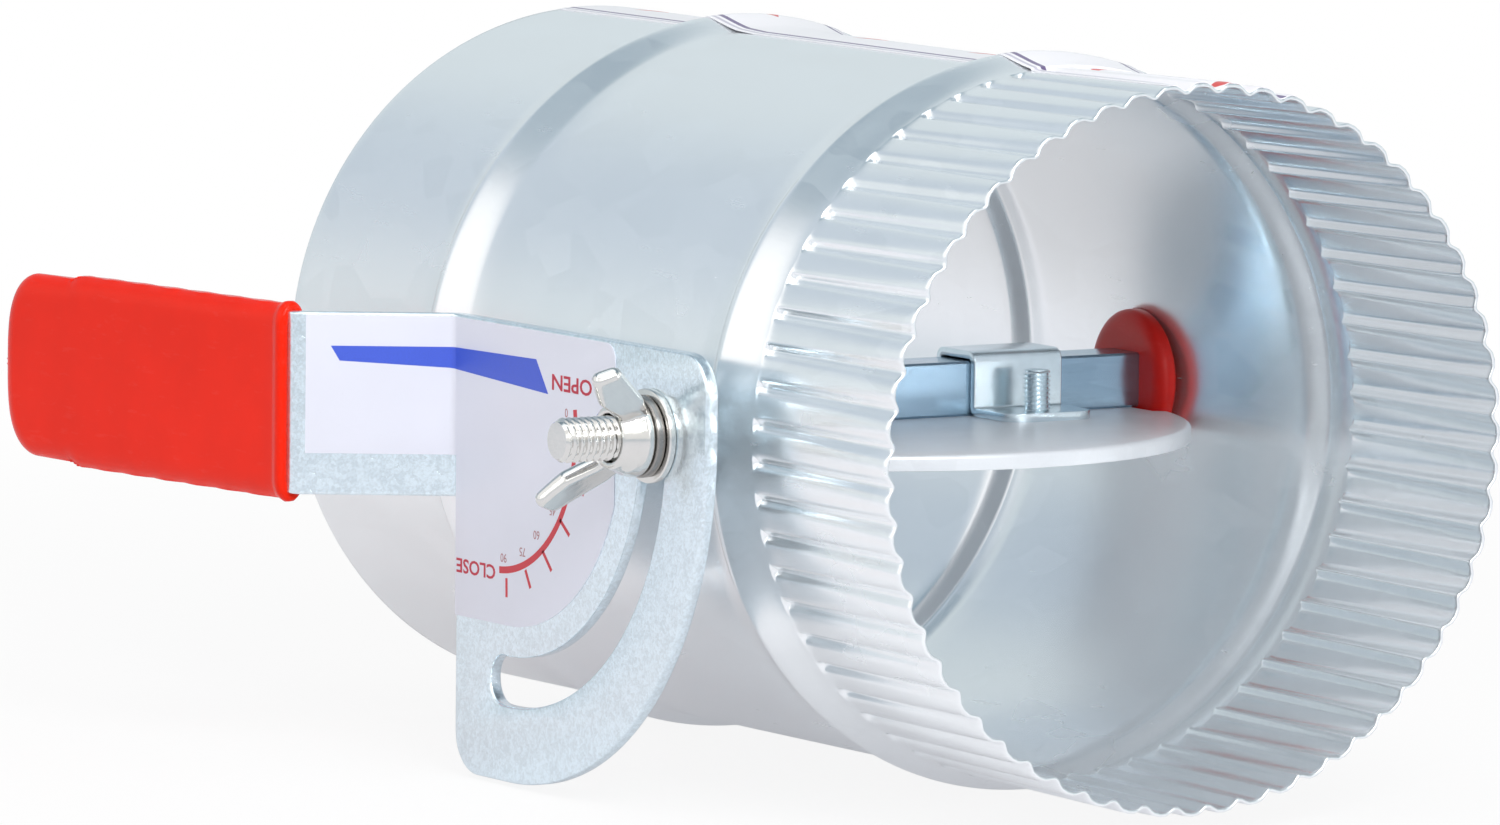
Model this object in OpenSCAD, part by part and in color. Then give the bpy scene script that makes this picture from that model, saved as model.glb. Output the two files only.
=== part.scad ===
// Hand-operated round volume damper: galvanised duct section with a butterfly blade,
// an outside lever with a locking slot, and a wing nut that clamps it.
// Millimetres, +Z up. Origin: centre of the plain end. +X runs along the duct to the
// crimped end, the blade's shaft lies along Y, and the lever is on the -Y side.
// The blade is drawn open. The lever closes it by swinging down, from -X to -Z.

/* [Duct] */
// Outside diameter of the plain tube
duct_d = 152.4; // [140:0.2:165]
// Sheet thickness
sheet_t = 0.8; // [0.6:0.1:1.2]
// Length over all
duct_len = 248.8; // [240:0.2:260]
// Centre of the bead by the plain end
bead_a_x = 70.3; // [55:0.1:75]
// Centre of the bead by the crimped end
bead_b_x = 189.1; // [186:0.1:190]
// Width of each bead along the duct
bead_w = 11; // [8:0.5:13]
// Height of each bead over the tube
bead_h = 2.6; // [1.5:0.1:3]

/* [Crimped end] */
// Where the crimps start
crimp_x = 195.6; // [195:0.1:200]
// Number of crimps around the mouth
crimp_count = 60; // [40:1:72]
// Crest to valley, halved
crimp_amp = 0.8; // [0.5:0.1:0.9]
// Gap left around the crests when they sit in another plain end
crimp_gap = 0.1; // [0.05:0.05:0.5]

/* [Shaft] */
// Distance of the shaft from the plain end
shaft_x = 114.5; // [110:0.5:118]
// Width of the square shaft
shaft_w = 12; // [10:0.5:13]
// How far the shaft stands out past the far wall
shaft_far_out = 5; // [3:0.5:12]

/* [Blade] */
// Gap between the blade's edge and the wall
blade_gap = 2.4; // [2:0.1:6]
// Blade sheet thickness
blade_t = 1.2; // [0.8:0.1:2]
// Height of the turned-down lip, the sheet included
lip_h = 3.6; // [2:0.1:5]

/* [Bushings] */
// Hub diameter, the part that turns in the wall
hub_d = 20; // [18:0.1:22]
// Flange diameter
flange_d = 30; // [26:0.5:34]
// Flange thickness
flange_t = 4; // [3:0.5:5]
// Radial play of the hub in the wall
hub_play = 0.08; // [0.03:0.01:0.1]
// Diameter of the spacer and of the clip outside the walls
collar_d = 26; // [22:0.5:30]

/* [Shaft straps] */
// Distance of each strap from the duct's centre line
strap_y = 37; // [30:0.5:42]
// Strap width along the shaft
strap_w = 22.5; // [18:0.5:26]
// Strap sheet thickness
strap_t = 1.8; // [1.2:0.1:2.5]
// Length of each foot
foot_len = 15; // [13:0.5:18]
// Screw diameter
screw_d = 6; // [5:0.5:6.5]
// Screw length above the blade
screw_up = 10.6; // [8:0.1:14]

/* [Lever plate] */
// Outer face of the plate, from the duct's centre line
plate_y = 86.8; // [84:0.1:92]
// Plate thickness
plate_t = 3; // [2:0.5:4]
// Radius of the plate's outer edge about the shaft
plate_r = 80.3; // [72:0.1:84]
// Plate edge behind the shaft
plate_back = 22.5; // [18:0.5:26]
// Plate edge above the shaft
plate_top = 18.5; // [16:0.5:22]
// Radius of the outer corners
corner_r = 9; // [6:0.5:12]
// Radius of the slot's centre line
slot_r = 58.5; // [56:0.1:60]
// Slot width
slot_w = 10.7; // [10.2:0.1:12]
// Slot travel past the stud at each end, in degrees
slot_over = 2.5; // [1:0.5:4]

/* [Lever arm] */
// Lower edge of the arm below the shaft
arm_low = 21; // [18:0.5:24]
// Inside radius of the bends
bend_r = 2; // [1.5:0.5:4]
// Outward bend at the plate, in degrees
arm_angle = 58; // [45:1:70]
// Straight part of the arm between the bends
arm_len = 31; // [24:0.5:36]
// Outward angle of the grip from the duct, in degrees
grip_angle = 7; // [0:1:15]
// Length of the grip past the end of the steel tang
nose_len = 11; // [9:1:25]

/* [Grip] */
// Vinyl wall over the steel
grip_wall = 1.4; // [1:0.1:2.5]
// Grip length past the second bend
grip_len = 105; // [80:1:115]
// Extra size of the rolled lip at the mouth
grip_lip = 0.6; // [0.2:0.1:1.2]

/* [Locking stud] */
// Stud diameter, 3/8 inch
stud_d = 9.525; // [9:0.025:10]
// Tip of the stud, from the duct's centre line
stud_tip = 110; // [106:0.5:114]
// Width across flats of the bolt head and of the nut
hex_af = 14.3; // [13:0.1:16]
// Height of the bolt head
head_h = 5.8; // [5:0.1:7]
// Outside diameter of the flat washer
washer_d = 20; // [18:0.5:22]
// Thickness of the flat washer
washer_t = 1.6; // [1.2:0.1:2]
// Outside diameter of the spring washer
spring_d = 17.4; // [16:0.1:18]
// Thickness of the spring washer
spring_t = 2.3; // [2:0.1:2.6]

/* [Wing nut] */
// Radial gap between stud and nut, in place of the thread
thread_gap = 0.3; // [0.2:0.05:0.4]
// Diameter of the hub at its base
nut_base_d = 17; // [15:0.5:19]
// Diameter of the hub at its top
nut_top_d = 13.5; // [12.5:0.5:15]
// Height of the hub
nut_h = 7; // [6:0.5:9]
// Distance of each wing tip's centre from the stud
wing_reach = 17; // [14:0.5:18]
// Height of each wing tip's centre over the base
wing_rise = 14; // [11:0.5:15]
// Radius of each wing tip
wing_tip_r = 4.5; // [3:0.5:5]
// Thickness of the wings
wing_t = 3.4; // [2.5:0.1:4]
// Angle of the wings from the duct's axis, in degrees
wing_angle = 50; // [0:5:175]

/* [Labels] */
// Thickness of the printed labels
label_t = 0.2; // [0.1:0.05:0.3]
// Width of the duct label around the tube
duct_label_w = 32; // [20:1:40]
// Turn of the duct label from the top towards the far side, in degrees
duct_label_turn = 6; // [-10:1:15]
// Reach of the scale label past the shaft
scale_reach = 43.5; // [40:0.5:46]
// Radius of the scale label's lower edge
scale_r = 46.5; // [42:0.5:50]
// Lower edge of the scale label on the arm, below the shaft
scale_low = 12; // [8:0.5:16]

/* [Hidden] */
$fn = 96;
duct_r = duct_d / 2;
bore_r = duct_r - sheet_t;
// Radius of the bead's arc, from its width and height
bead_arc = (pow(bead_w / 2, 2) + pow(bead_h, 2)) / (2 * bead_h);
bead_ring = duct_r + bead_h - bead_arc;
// The crests pass through a plain end of the same size
crimp_r = bore_r - crimp_gap - crimp_amp;
crimp_points = crimp_count * 8;
shoulder_t = 1;
label_gap = 0.02;
half_shaft = shaft_w / 2;
blade_r = bore_r - blade_gap;
// The flange is flat and the wall is round, so the flange stands off by the wall's rise
flange_back = sqrt(pow(bore_r, 2) - pow(flange_d / 2, 2)) - 0.2;
hub_out = 1;
notch_gap = 0.8;
clip_t = 1.5;
plate_in = plate_y - plate_t;
stud_x = shaft_x + slot_r;
tang_len = grip_len - nose_len;
nut_y = plate_y + washer_t + spring_t;
screw_x = half_shaft + strap_t + foot_len / 2;
screw_head_d = screw_d * 1.9;
screw_head_h = 3.4;
screw_washer_t = 1;
hex_d = hex_af / cos(30);
eps = 0.01;
// Length over which the bent sheet laps the plate, and straight steps in each bend
bend_leg = 1;
bend_steps = 12;

// Solid of revolution about the duct's axis: the tube with its beads, grown by g
module tube_solid(g, x0, x1) {
    rotate([0, 90, 0]) {
        translate([0, 0, x0]) cylinder(h = x1 - x0, r = duct_r + g);
        for (x = [bead_a_x, bead_b_x])
            translate([0, 0, x]) rotate_extrude()
                intersection() {
                    translate([bead_ring, 0]) circle(r = bead_arc + g);
                    translate([bead_ring, -bead_arc * 2]) square(bead_arc * 4);
                }
    }
}

// Wavy outline of the crimped end, grown by g
module crimp_outline(g) {
    polygon([for (i = [0 : crimp_points - 1])
        let (a = 360 * i / crimp_points, r = crimp_r + g + crimp_amp * cos(crimp_count * a))
        [r * cos(a), r * sin(a)]]);
}

module crimp_solid(g, x0, x1) {
    translate([x0, 0, 0]) rotate([0, 90, 0]) linear_extrude(x1 - x0) crimp_outline(g);
}

// Cylinder along Y, from y0 to y1, at x and z = 0
module rod_y(x, y0, y1, r) {
    translate([x, y1, 0]) rotate([90, 0, 0]) cylinder(h = y1 - y0, r = r);
}

// Square bar along Y about the shaft's axis
module bar_y(y0, y1, w) {
    translate([shaft_x - w / 2, y0, -w / 2]) cube([w, y1 - y0, w]);
}

module duct_body() {
    color("silver") difference() {
        union() {
            tube_solid(0, 0, crimp_x);
            crimp_solid(0, crimp_x, duct_len);
            translate([crimp_x - shoulder_t, 0, 0]) rotate([0, 90, 0])
                cylinder(h = shoulder_t, r = duct_r);
        }
        tube_solid(-sheet_t, -1, crimp_x - shoulder_t);
        crimp_solid(-sheet_t, crimp_x - shoulder_t - eps, duct_len + 1);
        rod_y(shaft_x, -duct_d, duct_d, hub_d / 2 + hub_play);
        rod_y(stud_x, -duct_d, 0, stud_d / 2);
    }
}

// Sticker along the top of the duct, over the beads and the crimps
module duct_label() {
    color("white") intersection() {
        difference() {
            union() {
                tube_solid(label_t, 1, crimp_x - shoulder_t);
                crimp_solid(label_t, crimp_x, duct_len - 0.5);
            }
            tube_solid(label_gap, 0, crimp_x);
            crimp_solid(label_gap, crimp_x - eps, duct_len);
        }
        rotate([-duct_label_turn, 0, 0])
            translate([0, -duct_label_w / 2, duct_r * 0.8])
                cube([duct_len, duct_label_w, duct_r]);
    }
}

// Bolt fixed in the duct wall, its head inside and its thread outside
module clamp_bolt() {
    tip_h = 1.2;
    color("gainsboro") {
        translate([stud_x, -bore_r + head_h + 0.2, 0]) rotate([90, 0, 0])
            cylinder(h = head_h, d = hex_d, $fn = 6);
        rod_y(stud_x, -stud_tip + tip_h, -bore_r + head_h, stud_d / 2);
        translate([stud_x, -stud_tip + tip_h, 0]) rotate([90, 0, 0])
            cylinder(h = tip_h, r1 = stud_d / 2, r2 = stud_d / 2 - tip_h * 0.7);
    }
}

// Plain nut that holds the bolt to the wall and backs the lever plate
module stud_nut() {
    color("lightsteelblue") difference() {
        translate([stud_x, -duct_r - 0.2, 0]) rotate([90, 0, 0])
            cylinder(h = plate_in - duct_r - 0.2, d = hex_d, $fn = 6);
        rod_y(stud_x, -plate_y, 0, stud_d / 2);
    }
}

module ring_y(y0, y1, outer, inner) {
    difference() {
        rod_y(stud_x, -y1, -y0, outer);
        rod_y(stud_x, -y1 - 1, -y0 + 1, inner);
    }
}

module flat_washer() {
    color("silver") ring_y(plate_y, plate_y + washer_t, washer_d / 2, stud_d / 2 + 0.3);
}

module spring_washer() {
    split = 1.4;
    color("dimgray") difference() {
        ring_y(plate_y + washer_t, nut_y, spring_d / 2, stud_d / 2 + 0.35);
        translate([stud_x - split / 2, -nut_y - 1, 0]) cube([split, spring_t + 2, spring_d]);
    }
}

// One wing, drawn flat with its height along Y, before it is stood on the hub
module wing_outline() {
    root = nut_top_d / 2 - 1.5;
    polygon([[root, 1], [nut_base_d / 2 - 1, 0.5],
             [wing_reach + wing_tip_r * 0.75, wing_rise - wing_tip_r * 0.66],
             [wing_reach - wing_tip_r * 0.78, wing_rise + wing_tip_r * 0.62],
             [root, nut_h - 0.5]]);
    translate([wing_reach, wing_rise]) circle(r = wing_tip_r);
}

module wing_nut() {
    color("whitesmoke") translate([stud_x, -nut_y, 0]) rotate([90, -wing_angle, 0])
        difference() {
            union() {
                cylinder(h = nut_h, d1 = nut_base_d, d2 = nut_top_d);
                for (turn = [0, 180]) rotate([90, 0, turn])
                    translate([0, 0, -wing_t / 2]) linear_extrude(wing_t) wing_outline();
            }
            translate([0, 0, -1]) cylinder(h = nut_h + 2, r = stud_d / 2 + thread_gap);
        }
}

module shaft() {
    color("lightsteelblue") bar_y(-plate_y, duct_r + shaft_far_out, shaft_w);
}

// Bushing for the +Y wall: domed flange inside, hub through the wall, square hole
module bushing() {
    dome = flange_t * 0.4;
    difference() {
        union() {
            rod_y(shaft_x, flange_back - flange_t + dome, flange_back, flange_d / 2);
            translate([shaft_x, flange_back - flange_t + dome, 0]) rotate([90, 0, 0])
                cylinder(h = dome, r1 = flange_d / 2, r2 = flange_d / 2 - dome * 1.5);
            rod_y(shaft_x, flange_back, duct_r + hub_out, hub_d / 2);
        }
        bar_y(0, duct_d, shaft_w);
    }
}

module near_bushing() { color("red") mirror([0, 1, 0]) bushing(); }

module far_bushing() { color("red") bushing(); }

// Spacer between the near wall and the lever plate
module near_spacer() {
    color("silver") difference() {
        rod_y(shaft_x, -plate_in, -duct_r - hub_out, collar_d / 2);
        bar_y(-plate_y, 0, shaft_w);
    }
}

// Push-on clip that keeps the shaft from sliding out
module far_clip() {
    color("gray") difference() {
        rod_y(shaft_x, duct_r + hub_out, duct_r + hub_out + clip_t, collar_d / 2);
        bar_y(0, duct_d, shaft_w);
    }
}

module at_screws(sides) {
    for (s = sides, x = [-screw_x, screw_x])
        translate([shaft_x + x, s * strap_y, -half_shaft]) children();
}

// Disc under the shaft with a turned-down lip, notched at the bushings
module blade() {
    color("white") difference() {
        translate([shaft_x, 0, -half_shaft - lip_h]) difference() {
            cylinder(h = lip_h, r = blade_r);
            translate([0, 0, -1]) cylinder(h = lip_h - blade_t + 1, r = blade_r - blade_t);
        }
        at_screws([-1, 1]) translate([0, 0, -lip_h - 1])
            cylinder(h = lip_h + 2, r = screw_d / 2);
        for (side = [0, 1]) mirror([0, side, 0])
            rod_y(shaft_x, flange_back - flange_t - notch_gap, duct_r, flange_d / 2 + notch_gap);
    }
}

// Hat-shaped strap over the shaft, with a foot on each side
module strap(side) {
    lift = 0.4;
    wall = half_shaft + strap_t;
    color("lightsteelblue") difference() {
        translate([shaft_x, side * strap_y + strap_w / 2, 0]) rotate([90, 0, 0])
            linear_extrude(strap_w) difference() {
                union() {
                    translate([-wall, -half_shaft]) square([wall * 2, shaft_w + lift]);
                    translate([-wall + strap_t, half_shaft + lift])
                        square([(wall - strap_t) * 2, strap_t]);
                    for (x = [-1, 1]) translate([x * (wall - strap_t), half_shaft + lift])
                        circle(r = strap_t);
                    translate([-wall - foot_len, -half_shaft])
                        square([(wall + foot_len) * 2, strap_t]);
                }
                translate([-half_shaft, -half_shaft - 1])
                    square([shaft_w, shaft_w + lift + 1]);
            }
        at_screws([side]) translate([0, 0, -1])
            cylinder(h = strap_t + 2, r = screw_d / 2);
    }
}

module near_strap() { strap(-1); }

module far_strap() { strap(1); }

// Screws from below the blade, tapped into the strap's feet
module screws(side) {
    color("gainsboro") at_screws([side]) {
        translate([0, 0, -blade_t - screw_washer_t])
            cylinder(h = blade_t + screw_washer_t + screw_up, r = screw_d / 2);
        translate([0, 0, -blade_t - screw_washer_t - screw_head_h])
            cylinder(h = screw_head_h, d = screw_head_d);
    }
}

module near_screws() { screws(-1); }

module far_screws() { screws(1); }

module screw_washers() {
    color("silver") at_screws([-1, 1])
        translate([0, 0, -blade_t - screw_washer_t]) difference() {
            cylinder(h = screw_washer_t, d = screw_head_d + 1.6);
            translate([0, 0, -1]) cylinder(h = screw_washer_t + 2, r = screw_d / 2);
        }
}

// Flat part of the lever about the shaft, with the shaft at the origin and +Y up
module plate_outline() {
    intersection() {
        translate([-plate_back, -plate_r]) square([plate_back + plate_r, plate_r + plate_top]);
        union() {
            circle(r = plate_r, $fn = 180);
            translate([-plate_back, 0]) square([plate_back + plate_r - corner_r, plate_top]);
            translate([0, 0]) square([plate_r, plate_top - corner_r]);
            translate([plate_r - corner_r, plate_top - corner_r]) circle(r = corner_r);
            translate([-plate_back, -plate_r + corner_r])
                square([plate_back, plate_r]);
            translate([-plate_back + corner_r, -plate_r]) square([plate_back - corner_r, plate_r]);
            translate([-plate_back + corner_r, -plate_r + corner_r]) circle(r = corner_r);
        }
    }
}

// Arc slot, concentric with the shaft
module slot_outline() {
    a0 = slot_over;
    a1 = -90 - slot_over;
    difference() {
        circle(r = slot_r + slot_w / 2, $fn = 180);
        circle(r = slot_r - slot_w / 2, $fn = 180);
        polygon([[0, 0], 3 * plate_r * [cos(a0), sin(a0)], 3 * plate_r * [1, 1],
                 3 * plate_r * [-1, 1], 3 * plate_r * [-1, -1],
                 3 * plate_r * [cos(a1), sin(a1)]]);
    }
    for (a = [a0, a1]) translate(slot_r * [cos(a), sin(a)]) circle(r = slot_w / 2);
}

// Points on an arc about c from angle t0 to angle t1
function arc_points(c, r, t0, t1) =
    [for (i = [0:bend_steps]) let (t = t0 + (t1 - t0) * i / bend_steps) c + r * [cos(t), sin(t)]];

// Side view of one face of the bent sheet, at depth d under the outer face. It starts at
// the plate's back edge, follows the arm for la and, where lt isn't zero, the tang for lt
function face_points(d, la, lt) =
    let (along = [-cos(arm_angle), -sin(arm_angle)], deep = [-sin(arm_angle), cos(arm_angle)],
         tang = [-cos(grip_angle), -sin(grip_angle)],
         tang_deep = [-sin(grip_angle), cos(grip_angle)],
         c1 = [0, -bend_r], arm_end = c1 + bend_r * deep + la * along,
         c2 = arm_end + (plate_t + bend_r) * deep, r2 = bend_r + plate_t - d)
    concat([[bend_leg, d]], arc_points(c1, bend_r + d, 90, 90 + arm_angle),
           lt > 0 ? concat(arc_points(c2, r2, 270 + arm_angle, 270 + grip_angle),
                           [c2 - r2 * tang_deep + lt * tang])
                  : [arm_end + d * deep]);

// Bent sheet between depths d0 and d1 and heights z0 and z1. It laps the plate by bend_leg
module lever_strip(d0, d1, z0, z1, la, lt) {
    inner = face_points(d1, la, lt);
    translate([shaft_x - plate_back, -plate_y, z0]) linear_extrude(z1 - z0)
        polygon(concat(face_points(d0, la, lt),
                       [for (i = [len(inner) - 1:-1:0]) inner[i]]));
}

// Plate with the slot, then the arm bent outwards and the tang inside the grip
module handle_lever() {
    color("lightsteelblue") {
        difference() {
            translate([shaft_x, -plate_in, 0]) rotate([90, 0, 0])
                linear_extrude(plate_t) difference() {
                    plate_outline();
                    slot_outline();
                    translate([-half_shaft, -half_shaft]) square(shaft_w);
                }
        }
        lever_strip(0, plate_t, -arm_low, plate_top, arm_len, tang_len);
    }
}

// Places the children where the tang starts, with -X along the grip
module at_tang() {
    step = arm_angle - grip_angle;
    translate([shaft_x - plate_back, -plate_y - bend_r, 0]) rotate([0, 0, arm_angle])
        translate([-arm_len, bend_r + bend_r + plate_t, 0]) rotate([0, 0, -step])
            translate([0, -bend_r - plate_t, 0]) children();
}

// Grip outline seen from the front: straight mouth, rounded far end
module grip_outline(g) {
    mid = (plate_top - arm_low) / 2;
    half = (plate_top + arm_low) / 2 + grip_wall;
    end_r = 13;
    translate([-grip_len + end_r, mid - half - g]) square([grip_len - end_r, (half + g) * 2]);
    translate([-grip_len, mid - half + end_r]) square([grip_len, (half - end_r) * 2]);
    for (s = [-1, 1]) translate([-grip_len + end_r, mid + s * (half - end_r)])
        circle(r = end_r);
}

module handle_grip() {
    lip_len = 3;
    mid = (plate_top - arm_low) / 2;
    half = (plate_top + arm_low) / 2 + grip_wall + grip_lip;
    color("red") at_tang() difference() {
        union() {
            translate([0, plate_t + grip_wall, 0]) rotate([90, 0, 0])
                linear_extrude(plate_t + grip_wall * 2) grip_outline(0);
            translate([-lip_len, -grip_wall - grip_lip, mid - half])
                cube([lip_len, plate_t + (grip_wall + grip_lip) * 2, half * 2]);
        }
        translate([-tang_len, 0, -arm_low]) cube([tang_len + 1, plate_t, plate_top + arm_low]);
    }
}

// Printed scale on the plate and round the bend on to the arm
module scale_label() {
    inset = 0.6;
    color("white") {
        translate([shaft_x, -plate_y, 0]) rotate([90, 0, 0]) linear_extrude(label_t)
            intersection() {
                translate([-plate_back, -scale_r])
                    square([plate_back + scale_reach, scale_r + plate_top - inset]);
                union() {
                    circle(r = scale_r, $fn = 180);
                    translate([-plate_back, -scale_r]) square([plate_back, scale_r * 2]);
                    square([scale_reach, plate_top]);
                }
            }
        lever_strip(-label_t, 0, -scale_low, plate_top - inset, arm_len, 0);
    }
}

duct_body();
duct_label();
clamp_bolt();
stud_nut();
flat_washer();
spring_washer();
wing_nut();
shaft();
near_bushing();
far_bushing();
near_spacer();
far_clip();
blade();
near_strap();
far_strap();
near_screws();
far_screws();
screw_washers();
handle_lever();
handle_grip();
scale_label();
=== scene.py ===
import logging
from dataclasses import dataclass
from enum import Enum
from typing import Any, Sequence

import bmesh
import bpy
import numpy as np
from mathutils import Matrix, Vector
from mathutils.geometry import tessellate_polygon


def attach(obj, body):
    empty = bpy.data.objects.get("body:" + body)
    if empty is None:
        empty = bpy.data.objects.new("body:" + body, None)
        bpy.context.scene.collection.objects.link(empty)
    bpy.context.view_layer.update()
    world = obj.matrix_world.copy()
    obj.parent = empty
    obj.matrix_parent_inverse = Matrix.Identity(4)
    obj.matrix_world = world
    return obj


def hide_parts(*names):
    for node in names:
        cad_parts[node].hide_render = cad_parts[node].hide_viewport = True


# Hand-operated round volume damper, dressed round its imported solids. Lengths are written in
# millimetres and become metres when a mesh is made. +X runs along the duct to the crimped
# end, the shaft lies along Y with the lever on the -Y side, and +Z is up.

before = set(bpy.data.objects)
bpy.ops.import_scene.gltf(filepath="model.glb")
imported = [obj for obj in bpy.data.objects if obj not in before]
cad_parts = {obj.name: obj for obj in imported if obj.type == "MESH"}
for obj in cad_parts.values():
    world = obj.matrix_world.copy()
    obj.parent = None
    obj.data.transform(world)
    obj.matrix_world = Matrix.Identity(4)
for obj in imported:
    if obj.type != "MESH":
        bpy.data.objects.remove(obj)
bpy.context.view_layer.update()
MM = 0.001
Array = np.ndarray
log = logging.getLogger("damper")


# Shader toolkit

class Wire:
    """An output socket of a material, which takes part in arithmetic on numbers."""

    def __init__(self, graph: "Graph", socket: Any) -> None:
        """Keeps the socket and the graph that it belongs to."""
        self.graph = graph
        self.socket = socket

    def _math(self, operation: str, *values: Any) -> "Wire":
        """Adds one Math node.

        Args:
            operation: The Math node's operation.
            values: Its inputs in order, numbers or wires.
        Returns:
            The node's result.
        """
        return self.graph.node("ShaderNodeMath", {"operation": operation},
                               dict(enumerate(values)))

    def __add__(self, other: Any) -> "Wire":
        """Sum."""
        return self._math("ADD", self, other)

    __radd__ = __add__

    def __mul__(self, other: Any) -> "Wire":
        """Product."""
        return self._math("MULTIPLY", self, other)

    __rmul__ = __mul__

    def __sub__(self, other: Any) -> "Wire":
        """Difference."""
        return self._math("SUBTRACT", self, other)

    def __rsub__(self, other: Any) -> "Wire":
        """Difference, the other way round."""
        return self._math("SUBTRACT", other, self)

    def __gt__(self, other: Any) -> "Wire":
        """1 where the wire is greater, else 0."""
        return self._math("GREATER_THAN", self, other)

    def __lt__(self, other: Any) -> "Wire":
        """1 where the wire is less, else 0."""
        return self._math("LESS_THAN", self, other)

    def __abs__(self) -> "Wire":
        """Size without sign."""
        return self._math("ABSOLUTE", self)

    def __mod__(self, other: Any) -> "Wire":
        """Remainder, never negative."""
        return self._math("FLOORED_MODULO", self, other)

    def larger(self, other: Any) -> "Wire":
        """The larger of two."""
        return self._math("MAXIMUM", self, other)

    def ramp(self, low: float, high: float) -> "Wire":
        """0 below low, 1 above high and a soft step between."""
        return self.graph.node("ShaderNodeMapRange", {"interpolation_type": "SMOOTHSTEP"},
                               {"Value": self, "From Min": low, "From Max": high})


class Graph:
    """The node tree of one material, or of the world."""

    def __init__(self, owner: Any) -> None:
        """Turns the owner's nodes on and empties its tree."""
        owner.use_nodes = True
        self.tree = owner.node_tree
        self.tree.nodes.clear()

    def node(self, kind: str, settings: dict[str, Any] | None = None,
             inputs: dict[Any, Any] | None = None, out: Any = 0) -> Wire:
        """Adds a node, sets it up and links it.

        Args:
            kind: Blender's name of the node type.
            settings: Properties that are set first.
            inputs: Values or wires by socket name or number.
            out: The output that is returned, by name or number.
        Returns:
            That output.
        """
        made = self.tree.nodes.new(kind)
        for key, value in (settings or {}).items():
            setattr(made, key, value)
        for key, value in (inputs or {}).items():
            if isinstance(value, Wire):
                self.tree.links.new(value.socket, made.inputs[key])
            else:
                made.inputs[key].default_value = value
        return Wire(self, made.outputs[out] if len(made.outputs) else None)

    def surface(self, shader: Wire, output: str = "ShaderNodeOutputMaterial") -> None:
        """Ends the tree with a shader."""
        self.node(output, {}, {"Surface": shader})

    def place(self) -> Wire:
        """Object coordinates, in metres."""
        return self.node("ShaderNodeTexCoord", out="Object")

    def ray(self, kind: str) -> Wire:
        """1 for one kind of ray, else 0."""
        return self.node("ShaderNodeLightPath", out=kind)

    def part(self, vector: Wire, side: str) -> Wire:
        """The X, Y or Z of a vector."""
        return self.node("ShaderNodeSeparateXYZ", {}, {0: vector}, side)

    def stretched(self, scale: Sequence[float]) -> Wire:
        """Object coordinates with each axis scaled, for grain that runs one way."""
        return self.node("ShaderNodeMapping", inputs={"Vector": self.place(),
                                                      "Scale": tuple(scale)})

    def noise(self, size_mm: float, detail: float = 3.0, where: Wire | None = None) -> Wire:
        """Cloudy noise from 0 to 1 with features of about size_mm."""
        return self.node("ShaderNodeTexNoise", {},
                         {"Vector": where or self.place(), "Scale": 1000.0 / size_mm,
                          "Detail": detail, "Roughness": 0.55}, "Fac")

    def cells(self, size_mm: float, where: Wire | None = None) -> Wire:
        """A random number from 0 to 1 for each crystal of about size_mm."""
        colour = self.node("ShaderNodeTexVoronoi", {}, {"Vector": where or self.place(),
                                                        "Scale": 1000.0 / size_mm}, "Color")
        return self.node("ShaderNodeSeparateColor", {}, {"Color": colour}, 0)

    def mix(self, factor: Any, first: Any, second: Any) -> Wire:
        """Colour that goes from first to second as the factor goes from 0 to 1."""
        return self.node("ShaderNodeMix", {"data_type": "RGBA"}, {0: factor, 6: first,
                                                                  7: second}, 2)

    def bump(self, height: Wire, depth_mm: float) -> Wire:
        """Normal bent by a height field that is depth_mm deep."""
        return self.node("ShaderNodeBump", {}, {"Strength": 1.0, "Height": height,
                                                "Distance": depth_mm * MM})


def shade(rgb: Sequence[float], gain: float = 1.0) -> tuple[float, float, float, float]:
    """A screen colour as linear light, times a gain.

    Args:
        rgb: Red, green and blue from 0 to 255.
        gain: What the linear light is multiplied by, before it is held between 0 and 1.
    Returns:
        Red, green, blue and 1.
    """
    part = np.asarray(rgb, float) / 255.0
    linear = np.where(part <= 0.04045, part / 12.92, ((part + 0.055) / 1.055) ** 2.4)
    r, g, b = np.clip(linear * gain, 0.0, 1.0)
    return float(r), float(g), float(b), 1.0


# Finishes

@dataclass(frozen=True)
class Finish:
    """A surface finish. Subclasses add what varies over the surface."""

    name: str
    colour: tuple[float, float, float]
    roughness: float
    metallic: float = 0.0
    coat: float = 0.0
    specular: float = 0.5

    def vary(self, g: Graph) -> dict[str, Any]:
        """Sockets of the shader that vary over the surface."""
        return {"Base Color": shade(self.colour)}

    def make(self) -> bpy.types.Material:
        """The material, made once for each finish. Its name differs from the frame's own.

        Returns:
            The material with its shader.
        """
        title = f"{self.name}_finish"
        made = bpy.data.materials.get(title)
        if made is None:
            made = bpy.data.materials.new(title)
            g = Graph(made)
            sockets: dict[str, Any] = {"Roughness": self.roughness, "Metallic": self.metallic,
                                       "Coat Weight": self.coat, "Coat Roughness": 0.08,
                                       "Specular IOR Level": self.specular}
            sockets.update(self.vary(g))
            g.surface(g.node("ShaderNodeBsdfPrincipled", {}, sockets))
        return made


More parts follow.
